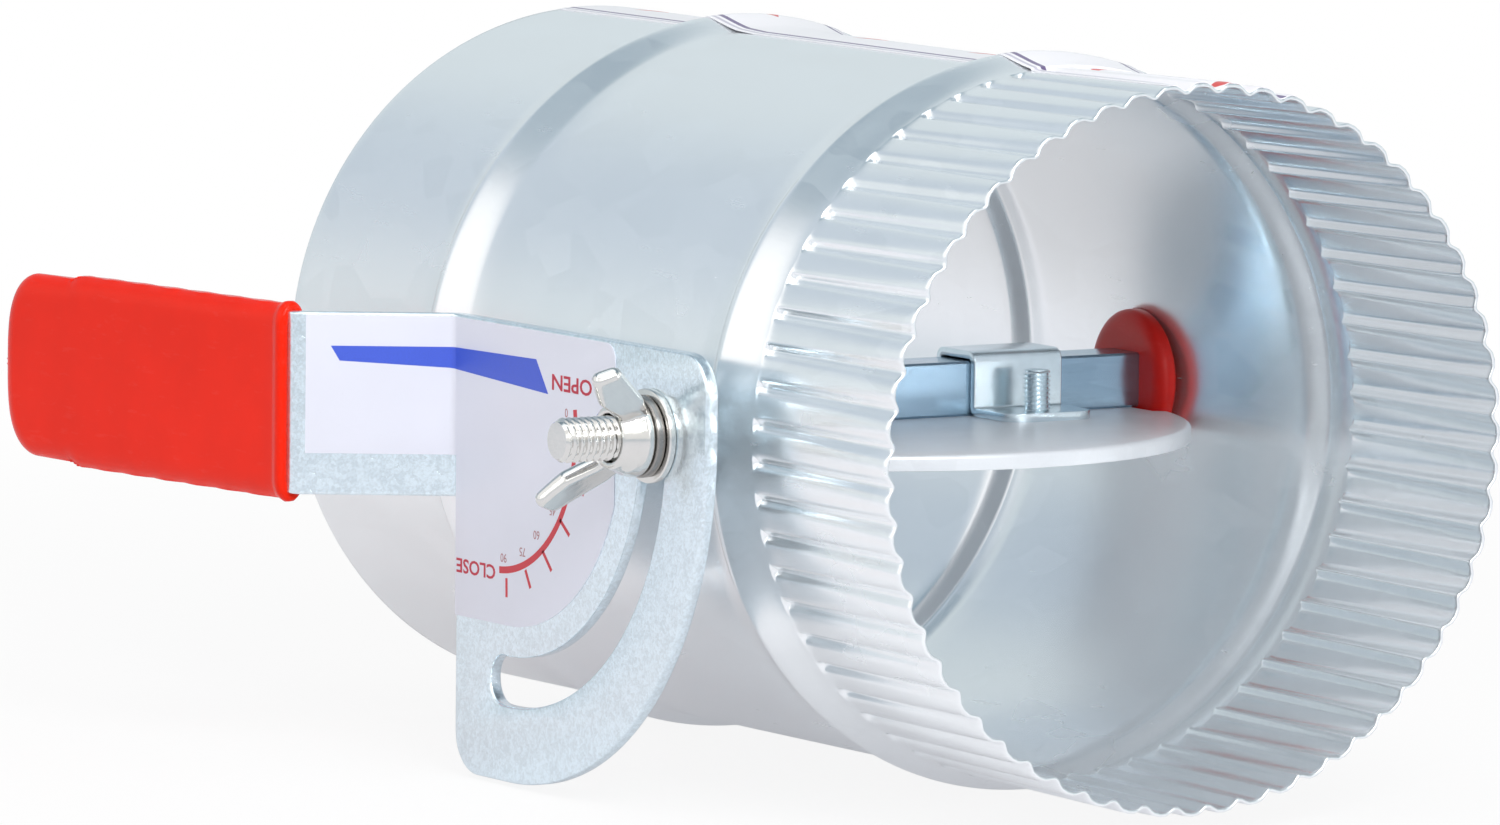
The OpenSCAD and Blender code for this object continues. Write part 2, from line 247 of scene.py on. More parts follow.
@dataclass(frozen=True)
class SpangledZinc(Finish):
    """Zinc on steel: crystals of different brightness, fine grain and faint scuffs."""

    crystal_mm: float = 7.0
    contrast: float = 0.06
    grain_mm: float = 0.6
    grain: float = 0.05
    depth_mm: float = 0.012
    along: tuple[float, float, float] = (1.0, 1.0, 1.0)

    def vary(self, g: Graph) -> dict[str, Any]:
        """Crystals and cloud change colour and gloss, grain changes the normal.

        Args:
            g: The material's graph.
        Returns:
            Base Color, Roughness and Normal.
        """
        where = g.stretched(self.along)
        crystal = g.cells(self.crystal_mm, where)
        cloud = g.noise(self.crystal_mm * 6.0, 4.0)
        grain = g.noise(self.grain_mm, 4.0, where)
        scuff = g.noise(2.2, 5.0, g.stretched((0.12, 1.0, 1.0))).ramp(0.60, 0.72)
        tone = 0.5 + (crystal - 0.5) * 0.8 + (grain - 0.5) * (self.grain / self.contrast) \
            + (cloud - 0.5) * 0.7 - scuff * 0.12
        dark = shade(self.colour, 1.0 - 2.0 * self.contrast)
        light = shade(self.colour, 1.0 + 2.0 * self.contrast)
        rough = self.roughness + (cloud - 0.5) * 0.10 + (crystal - 0.5) * 0.05 + scuff * 0.02
        return {"Base Color": g.mix(tone, dark, light), "Roughness": rough,
                "Normal": g.bump(grain + crystal * 0.5, self.depth_mm)}


@dataclass(frozen=True)
class PlatedMetal(Finish):
    """Bright plate on small parts: fine polishing marks, dulled in patches."""

    grain_mm: float = 0.5
    depth_mm: float = 0.006
    patch: float = 0.08

    def vary(self, g: Graph) -> dict[str, Any]:
        """Patches change colour and gloss, polishing marks change the normal.

        Args:
            g: The material's graph.
        Returns:
            Base Color, Roughness and Normal.
        """
        patch = g.noise(4.0, 4.0)
        fine = g.noise(self.grain_mm, 5.0)
        tone = 0.5 + (patch - 0.5) * 1.4 + (fine - 0.5) * 0.5
        return {"Base Color": g.mix(tone, shade(self.colour, 1.0 - self.patch),
                                    shade(self.colour, 1.0 + self.patch)),
                "Roughness": self.roughness + (patch - 0.5) * 0.12,
                "Normal": g.bump(fine + patch, self.depth_mm)}


@dataclass(frozen=True)
class MouldedPlastic(Finish):
    """Glossy plastic skin: faint clouds in the colour, a soft uneven surface and rub marks."""

    skin_mm: float = 3.0
    depth_mm: float = 0.02

    def vary(self, g: Graph) -> dict[str, Any]:
        """Clouds change the colour, rub marks the gloss, skin the normal.

        Args:
            g: The material's graph.
        Returns:
            Base Color, Roughness and Normal.
        """
        cloud = g.noise(14.0, 4.0)
        skin = g.noise(self.skin_mm, 3.0)
        rub = g.noise(1.6, 6.0, g.stretched((0.25, 1.0, 1.0))).ramp(0.58, 0.72)
        base = g.mix(cloud, shade(self.colour, 0.90), shade(self.colour, 1.08))
        return {"Base Color": g.mix(rub * 0.03, base, shade((255, 150, 140))),
                "Roughness": self.roughness + rub * 0.04 + (cloud - 0.5) * 0.06,
                "Normal": g.bump(skin, self.depth_mm)}


@dataclass(frozen=True)
class PrintFilm(Finish):
    """White film: slightly uneven gloss, faint dust and a soft ripple from the glue."""

    def vary(self, g: Graph) -> dict[str, Any]:
        """Clouds change colour and gloss, ripple changes the normal.

        Args:
            g: The material's graph.
        Returns:
            Base Color, Roughness and Normal.
        """
        cloud = g.noise(18.0, 4.0)
        dust = g.noise(0.7, 4.0).ramp(0.66, 0.74)
        tone = cloud * 0.6 + dust * 0.4
        return {"Base Color": g.mix(tone, shade(self.colour, 1.02), shade(self.colour, 0.93)),
                "Roughness": self.roughness + (cloud - 0.5) * 0.10,
                "Normal": g.bump(g.noise(5.0, 2.0), 0.01)}


@dataclass(frozen=True)
class Ink(Finish):
    """Printed ink with a slightly broken tone."""

    def vary(self, g: Graph) -> dict[str, Any]:
        """Fine dots change the tone.

        Args:
            g: The material's graph.
        Returns:
            Base Color and Roughness.
        """
        dots = g.noise(0.35, 2.0)
        return {"Base Color": g.mix(dots, shade(self.colour, 0.92), shade(self.colour, 1.10)),
                "Roughness": self.roughness + (dots - 0.5) * 0.1}


@dataclass(frozen=True)
class DuctPrint(PrintFilm):
    """The duct's sticker: a border of two lines on each side and a row of plain arrows.

    The UV map holds the distance along the duct and the distance from the sticker's
    middle, both in metres.
    """

    line: tuple[float, float, float] = (112, 98, 138)
    border: tuple[float, float, float] = (196, 194, 208)
    arrow: tuple[float, float, float] = (214, 62, 58)
    line_mm: float = 13.0
    line_half: float = 0.6
    border_mm: float = 14.8
    border_half: float = 0.4
    arrow_pitch: float = 46.0
    arrow_tail: float = 14.0
    arrow_tip: float = 22.0
    arrow_slope: float = 0.55

    def vary(self, g: Graph) -> dict[str, Any]:
        """Lines and arrows are masks on the UV map, laid over the film.

        Args:
            g: The material's graph.
        Returns:
            The film's sockets with the print in Base Color.
        """
        sockets = super().vary(g)
        flat = g.node("ShaderNodeUVMap", out="UV")
        along = g.part(flat, "X") * 1000.0
        across = abs(g.part(flat, "Y") * 1000.0)
        line = abs(across - self.line_mm) < self.line_half
        border = abs(across - self.border_mm) < self.border_half
        step = along % self.arrow_pitch
        arrow = (step > self.arrow_tail) * (step < self.arrow_tip) \
            * (across < (self.arrow_tip - step) * self.arrow_slope)
        colour = g.mix(line, sockets["Base Color"], shade(self.line))
        colour = g.mix(border, colour, shade(self.border))
        sockets["Base Color"] = g.mix(arrow, colour, shade(self.arrow))
        return sockets


GALVANISED = SpangledZinc("galvanised_sheet", (247, 250, 252), 0.24, 0.88, crystal_mm=9.0,
                          contrast=0.01, grain_mm=0.8, grain=0.012, depth_mm=0.006,
                          along=(0.5, 1.0, 1.0))
LEVER_ZINC = SpangledZinc("lever_zinc", (222, 234, 241), 0.22, 0.88, crystal_mm=1.1,
                          contrast=0.04, grain_mm=0.6, grain=0.12, depth_mm=0.02)
BLADE_SHEET = SpangledZinc("blade_sheet", (232, 236, 241), 0.34, 0.25, crystal_mm=6.0,
                           contrast=0.012, grain_mm=0.7, grain=0.01, depth_mm=0.005)
BRIGHT_ZINC = PlatedMetal("bright_zinc", (228, 241, 248), 0.24, 0.85)
ZINC_BAR = SpangledZinc("zinc_bar", (156, 182, 202), 0.20, 0.90, crystal_mm=2.5,
                        contrast=0.03, grain_mm=0.5, grain=0.03, depth_mm=0.006,
                        along=(1.0, 0.2, 1.0))
NICKEL = PlatedMetal("nickel_plate", (222, 221, 218), 0.13, 1.0, grain_mm=1.2,
                     depth_mm=0.02, patch=0.04)
DARK_STEEL = PlatedMetal("dark_spring_steel", (150, 147, 144), 0.26, 0.95)
RED_VINYL = MouldedPlastic("red_vinyl", (238, 34, 2), 0.22, specular=0.16,
                           depth_mm=0.006)
RED_NYLON = MouldedPlastic("red_nylon", (208, 24, 14), 0.32, specular=0.3, skin_mm=1.5,
                           depth_mm=0.03)
SCALE_FILM = PrintFilm("scale_film", (221, 223, 235), 0.30, coat=0.2)
STICKER = DuctPrint("duct_sticker_film", (242, 242, 247), 0.34, coat=0.15)
RED_INK = Ink("red_ink", (200, 44, 58), 0.4)
WORD_INK = Ink("word_ink", (186, 26, 56), 0.4)
BLUE_INK = Ink("blue_ink", (62, 90, 206), 0.4)
FAINT_INK = Ink("faint_ink", (170, 116, 120), 0.4)


# Meshes

class Axis(Enum):
    """Which way a turned piece's axis runs."""

    X = 0
    Y = 1
    Z = 2


def about(axis: Axis, centre: Sequence[float], along: Array, radius: Array,
          angle: Array) -> Array:
    """Points on rings round an axis: the place along it, and radius times cos and sin across.

    Args:
        axis: The direction of the axis.
        centre: The axis's place in the two other directions, in the order X, Y, Z.
        along: Place along the axis.
        radius: Distance from the axis.
        angle: Angle in radians from the first of the two other directions.
    Returns:
        Points with the shape that the three arrays broadcast to, and a last side of 3.
    """
    along, radius, angle = np.broadcast_arrays(along, radius, angle)
    across = [centre[0] + radius * np.cos(angle), centre[1] + radius * np.sin(angle)]
    across.insert(axis.value, along)
    return np.stack(across, axis=-1)


def ring_angles(count: int) -> Array:
    """Count equal angles round a turn, as a column."""
    return (np.arange(count) * 2.0 * np.pi / count)[:, None]


def square_radius(angle: Array, half: float, ease: float) -> Array:
    """Outline of a square bar with eased corners: half over the larger of cos and sin, held
    back at the corners by a circle that is ease smaller than the one through them.

    Args:
        angle: Angles in radians.
        half: Half the bar's side.
        ease: How much is taken off each corner.
    Returns:
        Radii of the outline.
    """
    flat = half / np.maximum(np.abs(np.cos(angle)), np.abs(np.sin(angle)))
    return np.minimum(flat, half * np.sqrt(2.0) - ease)


def hex_radius(angle: Array, across_flats: float) -> Array:
    """Outline of a hexagon: half the flats over the cosine of the angle to the flat."""
    turn = np.mod(angle, np.pi / 3.0) - np.pi / 6.0
    return across_flats / 2.0 / np.cos(turn)


def arc(centre: Sequence[float], radius: float, first: float, last: float,
        steps: int) -> Array:
    """Points on a flat arc: centre plus radius times cos and sin, angles in degrees."""
    angle = np.radians(np.linspace(first, last, steps + 1))
    return np.stack([centre[0] + radius * np.cos(angle), centre[1] + radius * np.sin(angle)],
                    axis=-1)


def at_depth(loop: Array, depth: float) -> Array:
    """Pairs in the XZ plane as points, with the depth as their Y."""
    return np.stack([loop[:, 0], np.full(len(loop), depth), loop[:, 1]], axis=-1)


def quads(index: Array) -> list[list[int]]:
    """Four-sided faces between the neighbours on a grid of point numbers."""
    return np.stack([index[:-1, :-1], index[1:, :-1], index[1:, 1:], index[:-1, 1:]],
                    axis=-1).reshape(-1, 4).tolist()


def soft_step(value: Array, low: float, high: float) -> Array:
    """0 below low, 1 above high, and 3t squared less 2t cubed between."""
    t = np.clip((value - low) / (high - low), 0.0, 1.0)
    return t * t * (3.0 - 2.0 * t)


def inset(loop: Array, distance: float) -> Array:
    """Loop moved to its left by a distance: each corner goes along the sum of its two edges'
    normals over one plus their dot product, so straight edges stay parallel.

    Args:
        loop: Pairs, in order round the loop.
        distance: How far each edge moves.
    Returns:
        The moved loop.
    """
    edge = np.roll(loop, -1, axis=0) - loop
    edge /= np.maximum(np.linalg.norm(edge, axis=1, keepdims=True), 1e-9)
    after = np.stack([-edge[:, 1], edge[:, 0]], axis=-1)
    before = np.roll(after, 1, axis=0)
    dot = np.sum(after * before, axis=1, keepdims=True)
    return loop + distance * (after + before) / np.maximum(1.0 + dot, 0.3)


class Shell:
    """Collects grids and flat faces in millimetres, and welds them into one closed piece."""

    def __init__(self) -> None:
        """Starts empty."""
        self.points: list[Array] = []
        self.faces: list[Sequence[int]] = []
        self.uvs: list[Array] = []
        self.count = 0

    def add(self, points: Array, uv: Array | None = None) -> int:
        """Keeps points and gives the number of the first."""
        first = self.count
        self.points.append(points)
        self.uvs.append(np.zeros((len(points), 2)) if uv is None else uv)
        self.count += len(points)
        return first

    def grid(self, points: Array, around: bool = False, across: bool = False,
             uv: Array | None = None) -> "Shell":
        """Adds a surface as quads between neighbours on a grid.

        Args:
            points: Grid of points, rows by columns by 3.
            around: Whether the last row joins the first.
            across: Whether the last column joins the first.
            uv: A pair for each point.
        Returns:
            The shell itself.
        """
        rows, columns = points.shape[:2]
        first = self.add(points.reshape(-1, 3), None if uv is None else uv.reshape(-1, 2))
        index = np.arange(rows * columns).reshape(rows, columns) + first
        if around:
            index = np.vstack([index, index[:1]])
        if across:
            index = np.hstack([index, index[:, :1]])
        self.faces.extend(quads(index))
        return self

    def cap(self, loop: Array) -> "Shell":
        """Adds one flat face on a loop of points."""
        first = self.add(loop)
        self.faces.append(list(range(first, first + len(loop))))
        return self

    def rod(self, axis: Axis, centre: Sequence[float], along: Array, radius: Array,
            angle: Array) -> "Shell":
        """Adds a turned surface with a flat face at both ends.

        Args:
            axis: The direction of its axis.
            centre: The axis's place in the two other directions.
            along: Places along the axis, one for each column.
            radius: Radii.
            angle: Angles, one for each row.
        Returns:
            The shell itself.
        """
        rings = about(axis, centre, along, radius, angle)
        return self.grid(rings, True).cap(rings[:, 0]).cap(rings[:, -1])

    def flat(self, loops: Sequence[Array], depth: float) -> "Shell":
        """Adds a flat region in the XZ plane with holes, cut into triangles.

        Args:
            loops: The outer loop and the holes, as pairs.
            depth: The region's Y.
        Returns:
            The shell itself.
        """
        first = self.add(at_depth(np.vstack(loops), depth))
        rings = [[Vector((float(x), float(z), 0.0)) for x, z in loop] for loop in loops]
        self.faces.extend([first + i for i in tri] for tri in tessellate_polygon(rings))
        return self

    def mesh(self, name: str, angle: float = 32.0, weld: float = 0.002,
             cuts: Sequence[float] = (), fold: Any = None) -> bpy.types.Mesh:
        """Welds what was added and makes a mesh with its normals outwards.

        Args:
            name: The mesh's name.
            angle: Edges sharper than this, in degrees, are shaded sharp.
            weld: Points closer than this, in millimetres, become one.
            cuts: Places along X where the faces are cut, so that they can bend there.
            fold: Function that moves all points, given as an array, after the cuts.
        Returns:
            The mesh, in metres.
        """
        made = bpy.data.meshes.new(name)
        made.from_pydata(np.vstack(self.points), [], self.faces)
        corners = np.empty(len(made.loops), np.int32)
        made.loops.foreach_get("vertex_index", corners)
        made.uv_layers.new(name="flat_run").data.foreach_set(
            "uv", np.vstack(self.uvs)[corners].ravel().astype(np.float32))
        work = bmesh.new()
        work.from_mesh(made)
        bmesh.ops.remove_doubles(work, verts=work.verts, dist=weld)
        for place in cuts:
            bmesh.ops.bisect_plane(work, geom=work.verts[:] + work.edges[:] + work.faces[:],
                                   plane_co=(place, 0, 0), plane_no=(1, 0, 0), dist=1e-4)
        bmesh.ops.recalc_face_normals(work, faces=work.faces)
        work.to_mesh(made)
        work.free()
        points = np.empty(len(made.vertices) * 3)
        made.vertices.foreach_get("co", points)
        points = points.reshape(-1, 3)
        points = (fold(points) if fold else points) * MM
        made.vertices.foreach_set("co", points.ravel())
        outwards(made)
        made.shade_smooth()
        made.set_sharp_from_angle(angle=float(np.radians(angle)))
        made.update()
        return made


def linked(data: Any) -> bpy.types.Object:
    """A new object of the scene, at the origin, with its data's name."""
    made = bpy.data.objects.new(data.name, data)
    bpy.context.scene.collection.objects.link(made)
    return made


def outwards(mesh: bpy.types.Mesh) -> None:
    """Turns a closed mesh right side out: recalculated, then flipped where its signed volume
    is below zero.

    Args:
        mesh: The mesh, which is changed in place.
    """
    work = bmesh.new()
    work.from_mesh(mesh)
    bmesh.ops.recalc_face_normals(work, faces=work.faces)
    if work.calc_volume(signed=True) < 0.0:
        bmesh.ops.reverse_faces(work, faces=work.faces)
    work.to_mesh(mesh)
    work.free()


def piece(mesh: bpy.types.Mesh, finish: Finish, body: str,
          stands_for: Sequence[str] = ()) -> bpy.types.Object:
    """Shows a mesh as one named piece.

    Args:
        mesh: The mesh, whose name the piece takes.
        finish: Its finish.
        body: The CAD body that it rides on.
        stands_for: CAD nodes that it replaces.
    Returns:
        The piece.
    """
    made = linked(mesh)
    mesh.materials.clear()
    mesh.materials.append(finish.make())
    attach(made, body)
    if stands_for:
        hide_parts(*stands_for)
    log.info("%-26s %7d faces, on %s, for %s", mesh.name, len(mesh.polygons), body,
             ", ".join(stands_for) or "nothing in the frame")
    return made


def settled(made: bpy.types.Object, name: str, angle: float) -> bpy.types.Mesh:
    """The mesh that a helper object's modifiers give. The helper is removed.

    Args:
        made: The helper object.
        name: The new mesh's name.
        angle: Edges sharper than this, in degrees, are shaded sharp.
    Returns:
        The mesh.
    """
    graph = bpy.context.evaluated_depsgraph_get()
    graph.update()
    mesh = bpy.data.meshes.new_from_object(made.evaluated_get(graph))
    bpy.data.objects.remove(made)
    mesh.name = name
    mesh.shade_smooth()
    mesh.set_sharp_from_angle(angle=float(np.radians(angle)))
    return mesh


def eased_ring(low: float, high: float, inner: float, outer: float,
               ease: float) -> tuple[Array, Array]:
    """Section of a flat ring with rounded edges, as a closed run.

    Four quarter circles of radius ease, one in each corner of the rectangle from low to
    high and from inner to outer.

    Args:
        low: Start along the ring's axis.
        high: End along it.
        inner: Radius of the hole.
        outer: Outside radius.
        ease: Radius of the edges.
    Returns:
        Places along the axis and radii.
    """
    corner = np.linspace(0.0, np.pi / 2.0, 4)
    along, radius = [], []
    for turn, (a, r) in enumerate([(high - ease, outer - ease), (high - ease, inner + ease),
                                   (low + ease, inner + ease), (low + ease, outer - ease)]):
        angle = corner + turn * np.pi / 2.0
        along.append(a + ease * np.sin(angle))
        radius.append(r + ease * np.cos(angle))
    return np.concatenate(along), np.concatenate(radius)


def threaded(low: float, high: float, radius: float, pitch: float, depth: float,
             lead: float, turn_steps: int) -> tuple[Array, Array, Array]:
    """Surface of a screw: the radius drops by depth times a triangle wave of the place along
    the axis over the pitch less the angle over a turn. The thread fades out over lead at the
    high end, where the rod is chamfered.

    Args:
        low: Start along the axis.
        high: Tip.
        radius: Outside radius.
        pitch: Advance for each turn.
        depth: Depth of the groove.
        lead: Length of the chamfer.
        turn_steps: Samples round the rod.
    Returns:
        Places along the axis, radii and angles as grids.
    """
    rows = int((high - low) / pitch * 8) + 2
    along = np.linspace(low, high, rows)[None, :]
    angle = ring_angles(turn_steps)
    wave = np.abs(np.mod(along / pitch - angle / (2.0 * np.pi), 1.0) * 2.0 - 1.0)
    groove = depth * np.clip((1.0 - wave) * 1.35 - 0.12, 0.0, 1.0)
    chamfer = np.clip((along - (high - lead)) / lead, 0.0, 1.0) * lead * 0.75
    return np.broadcast_arrays(along, radius - np.maximum(groove, chamfer), angle)


# Duct

@dataclass
class Duct:
    """Galvanised duct section: plain end, two beads and a crimped end, and its sticker."""

    radius: float = 76.2
    sheet: float = 0.8
    length: float = 248.8
    beads: tuple[float, float] = (64.9, 183.4)
    bead_back: float = 6.0
    bead_front: float = 12.0
    bead_height: float = 2.55
    bead_crest: float = 0.13
    crimp_start: float = 195.6
    crimp_count: int = 60
    crests: tuple[float, float] = (75.95, 76.8)
    groove: float = 1.5
    groove_power: float = 6.0
    groove_widening: float = 4.2
    dent: float = 0.05
    shaft_x: float = 114.5
    stud_x: float = 173.0
    stud_z: float = 0.0
    hub_hole: float = 10.1
    stud_hole: float = 4.9
    sticker_width: float = 32.0
    sticker_turn: float = 6.0
    film: float = 0.2

    def outer(self, x: Array, angle: Array) -> Array:
        """Outside radius at a place along the duct and an angle round it.

        The tube's radius, raised at each bead by the bead's form. From the crimps' start it
        steps down to the crests, which widen towards the mouth. It then falls by the groove's
        depth times one less a cosine wave, halved and raised to a power that makes the
        grooves narrow at their start and wide at the mouth. A slow, slight dent makes the
        sheet a little uneven.

        Args:
            x: Place along the duct.
            angle: Angle round the duct in radians.
        Returns:
            Radii of the broadcast shape.
        """
        into = soft_step(x, self.crimp_start - 0.5, self.crimp_start + 2.0)
        mouth = np.clip((x - self.crimp_start) / (self.length - self.crimp_start), 0.0, 1.0)
        power = self.groove_power - self.groove_widening * mouth ** 1.3
        wave = (0.5 - 0.5 * np.cos(self.crimp_count * angle)) ** power
        low, high = self.crests
        drop = (self.radius - low - (high - low) * mouth) * into
        grooves = self.groove * soft_step(x, self.crimp_start, self.crimp_start + 0.6) \
            * (0.85 + 0.15 * mouth) * wave
        dent = self.dent * (1.0 + np.sin(3.0 * angle + x / 31.0) * np.cos(x / 47.0 + angle))
        return self.radius + self.raised(x) - drop - grooves - dent

    def raised(self, x: Array, spread: float = 1.0, power: float = 1.3) -> Array:
        """Height of the beads over the tube: a hyperbola's rounded crest with straight flanks,
        raised to a power that eases the foot. The flank towards the plain end is the shorter.

        Args:
            x: Place along the duct.
            spread: How many times wider the flanks are.
            power: How hollow the foot is.
        Returns:
            Heights in millimetres.
        """
        height, crest = np.zeros_like(x), self.bead_crest
        for place in self.beads:
            side = np.where(x < place, self.bead_back, self.bead_front)
            share = np.abs(x - place) / (side * spread)
            fall = (np.hypot(share, crest) - crest) / (np.hypot(1.0, crest) - crest)
            height = np.maximum(height, np.clip(1.0 - fall, 0.0, 1.0) ** power)
        return height * self.bead_height

    def stations(self) -> Array:
        """Places along the duct where the sheet is sampled, close together where it bends.

        Returns:
            The places, rising.
        """
        runs = [[0.0, 0.4, 3.0, 15.0, 30.0, 45.0, 55.0]]
        for place in self.beads:
            runs.append(place + self.bead_back
                        * np.array([-1.0, -0.8, -0.6, -0.4, -0.2, -0.08]))
            runs.append(place + self.bead_front
                        * np.array([0.0, 0.04, 0.1, 0.2, 0.4, 0.6, 0.75, 0.88, 1.0]))
        runs.append(np.linspace(84.0, 172.0, 6))
        runs.append([195.6, 195.8, 196.1, 196.4, 197.4, 200.0, 206.0, 214.0, 222.0, 230.0,
                     238.0, 244.5, 247.6, 248.5])
        return np.unique(np.concatenate(runs))

    def build(self) -> None:
        """Makes the sheet as one closed wall, cuts its three holes, and lays the sticker."""
        x = self.stations()[None, :]
        pitch = np.array([0.0, 0.2, 0.3, 0.36, 0.41, 0.455, 0.5, 0.545, 0.59, 0.64, 0.7, 0.8])
        turns = (np.arange(self.crimp_count)[:, None] + pitch).reshape(-1, 1)
        angle = turns * (2.0 * np.pi / self.crimp_count)
        rim = np.array([[self.length - 0.1, self.length, self.length, self.length - 0.1]])
        rim_out = self.outer(rim, angle) - self.sheet * np.array([[0.1, 0.3, 0.7, 0.9]])
        outside = self.outer(x, angle)
        start = np.array([[0.1, 0.0, 0.0, 0.1]])
        start_out = self.outer(start, angle) - self.sheet * np.array([[0.9, 0.7, 0.3, 0.1]])
        along = np.hstack([x[:, 1:], rim, x[:, :0:-1], start])
        radius = np.hstack([outside[:, 1:], rim_out, outside[:, :0:-1] - self.sheet,
                            start_out])
        wall = Shell().grid(about(Axis.X, (0.0, 0.0), along, radius, angle), True, True)
        sheet = linked(wall.mesh("duct_sheet", 50.0))
        cutters = []
        for name, place, hole, low, high in (
                ("shaft_holes", (self.shaft_x, 0.0), self.hub_hole, -90.0, 90.0),
                ("stud_hole", (self.stud_x, self.stud_z), self.stud_hole, -90.0, 0.0)):
            rod = Shell().rod(Axis.Y, place, np.array([[low, high]]), hole, ring_angles(64))
            cutter = linked(rod.mesh(name))
            cutters.append(cutter)
            cut = sheet.modifiers.new(name, "BOOLEAN")
            cut.operation, cut.object, cut.solver = "DIFFERENCE", cutter, "EXACT"
        shell = settled(sheet, "duct_shell", 50.0)
        for cutter in cutters:
            bpy.data.objects.remove(cutter)
        piece(shell, GALVANISED, "duct", ["duct_body"])
        piece(self.sticker(), STICKER, "duct", ["duct_label"])

    def sticker(self) -> bpy.types.Mesh:
        """Film that follows the sheet at two small heights over it, joined at its edges. It
        lifts off beside the beads, where stiff film spans the foot.

        Returns:
            The sticker's mesh, whose UV map holds the place along and across it.
        """
        half = self.sticker_width / 2.0
        across = np.linspace(-half, half, 97)[:, None]
        angle = np.radians(90.0 - self.sticker_turn) - across / self.radius
        stations = self.stations()
        low, high = 1.0, self.length - 0.5
        x = np.unique(np.concatenate([[low, high], stations[(stations > low)
                                                           & (stations < high)]]))[None, :]
        clear = np.maximum(self.raised(x, 1.35, 1.6) - self.raised(x), 0.0) \
            * (x < self.crimp_start)
        under = self.outer(x, angle) + clear
        low_face, top_face = (about(Axis.X, (0.0, 0.0), x, under + over, angle)
                              for over in (0.02, self.film))
        uv = np.stack(np.broadcast_arrays(x * MM, across * MM), axis=-1)
        shell = Shell().grid(np.vstack([top_face, low_face[::-1]]), True, False,
                             np.vstack([uv, uv[::-1]]))
        for column in (0, -1):
            shell.grid(np.stack([top_face[:, column], low_face[:, column]], axis=1))
        return shell.mesh("duct_sticker", 40.0)


# Stud and its nuts

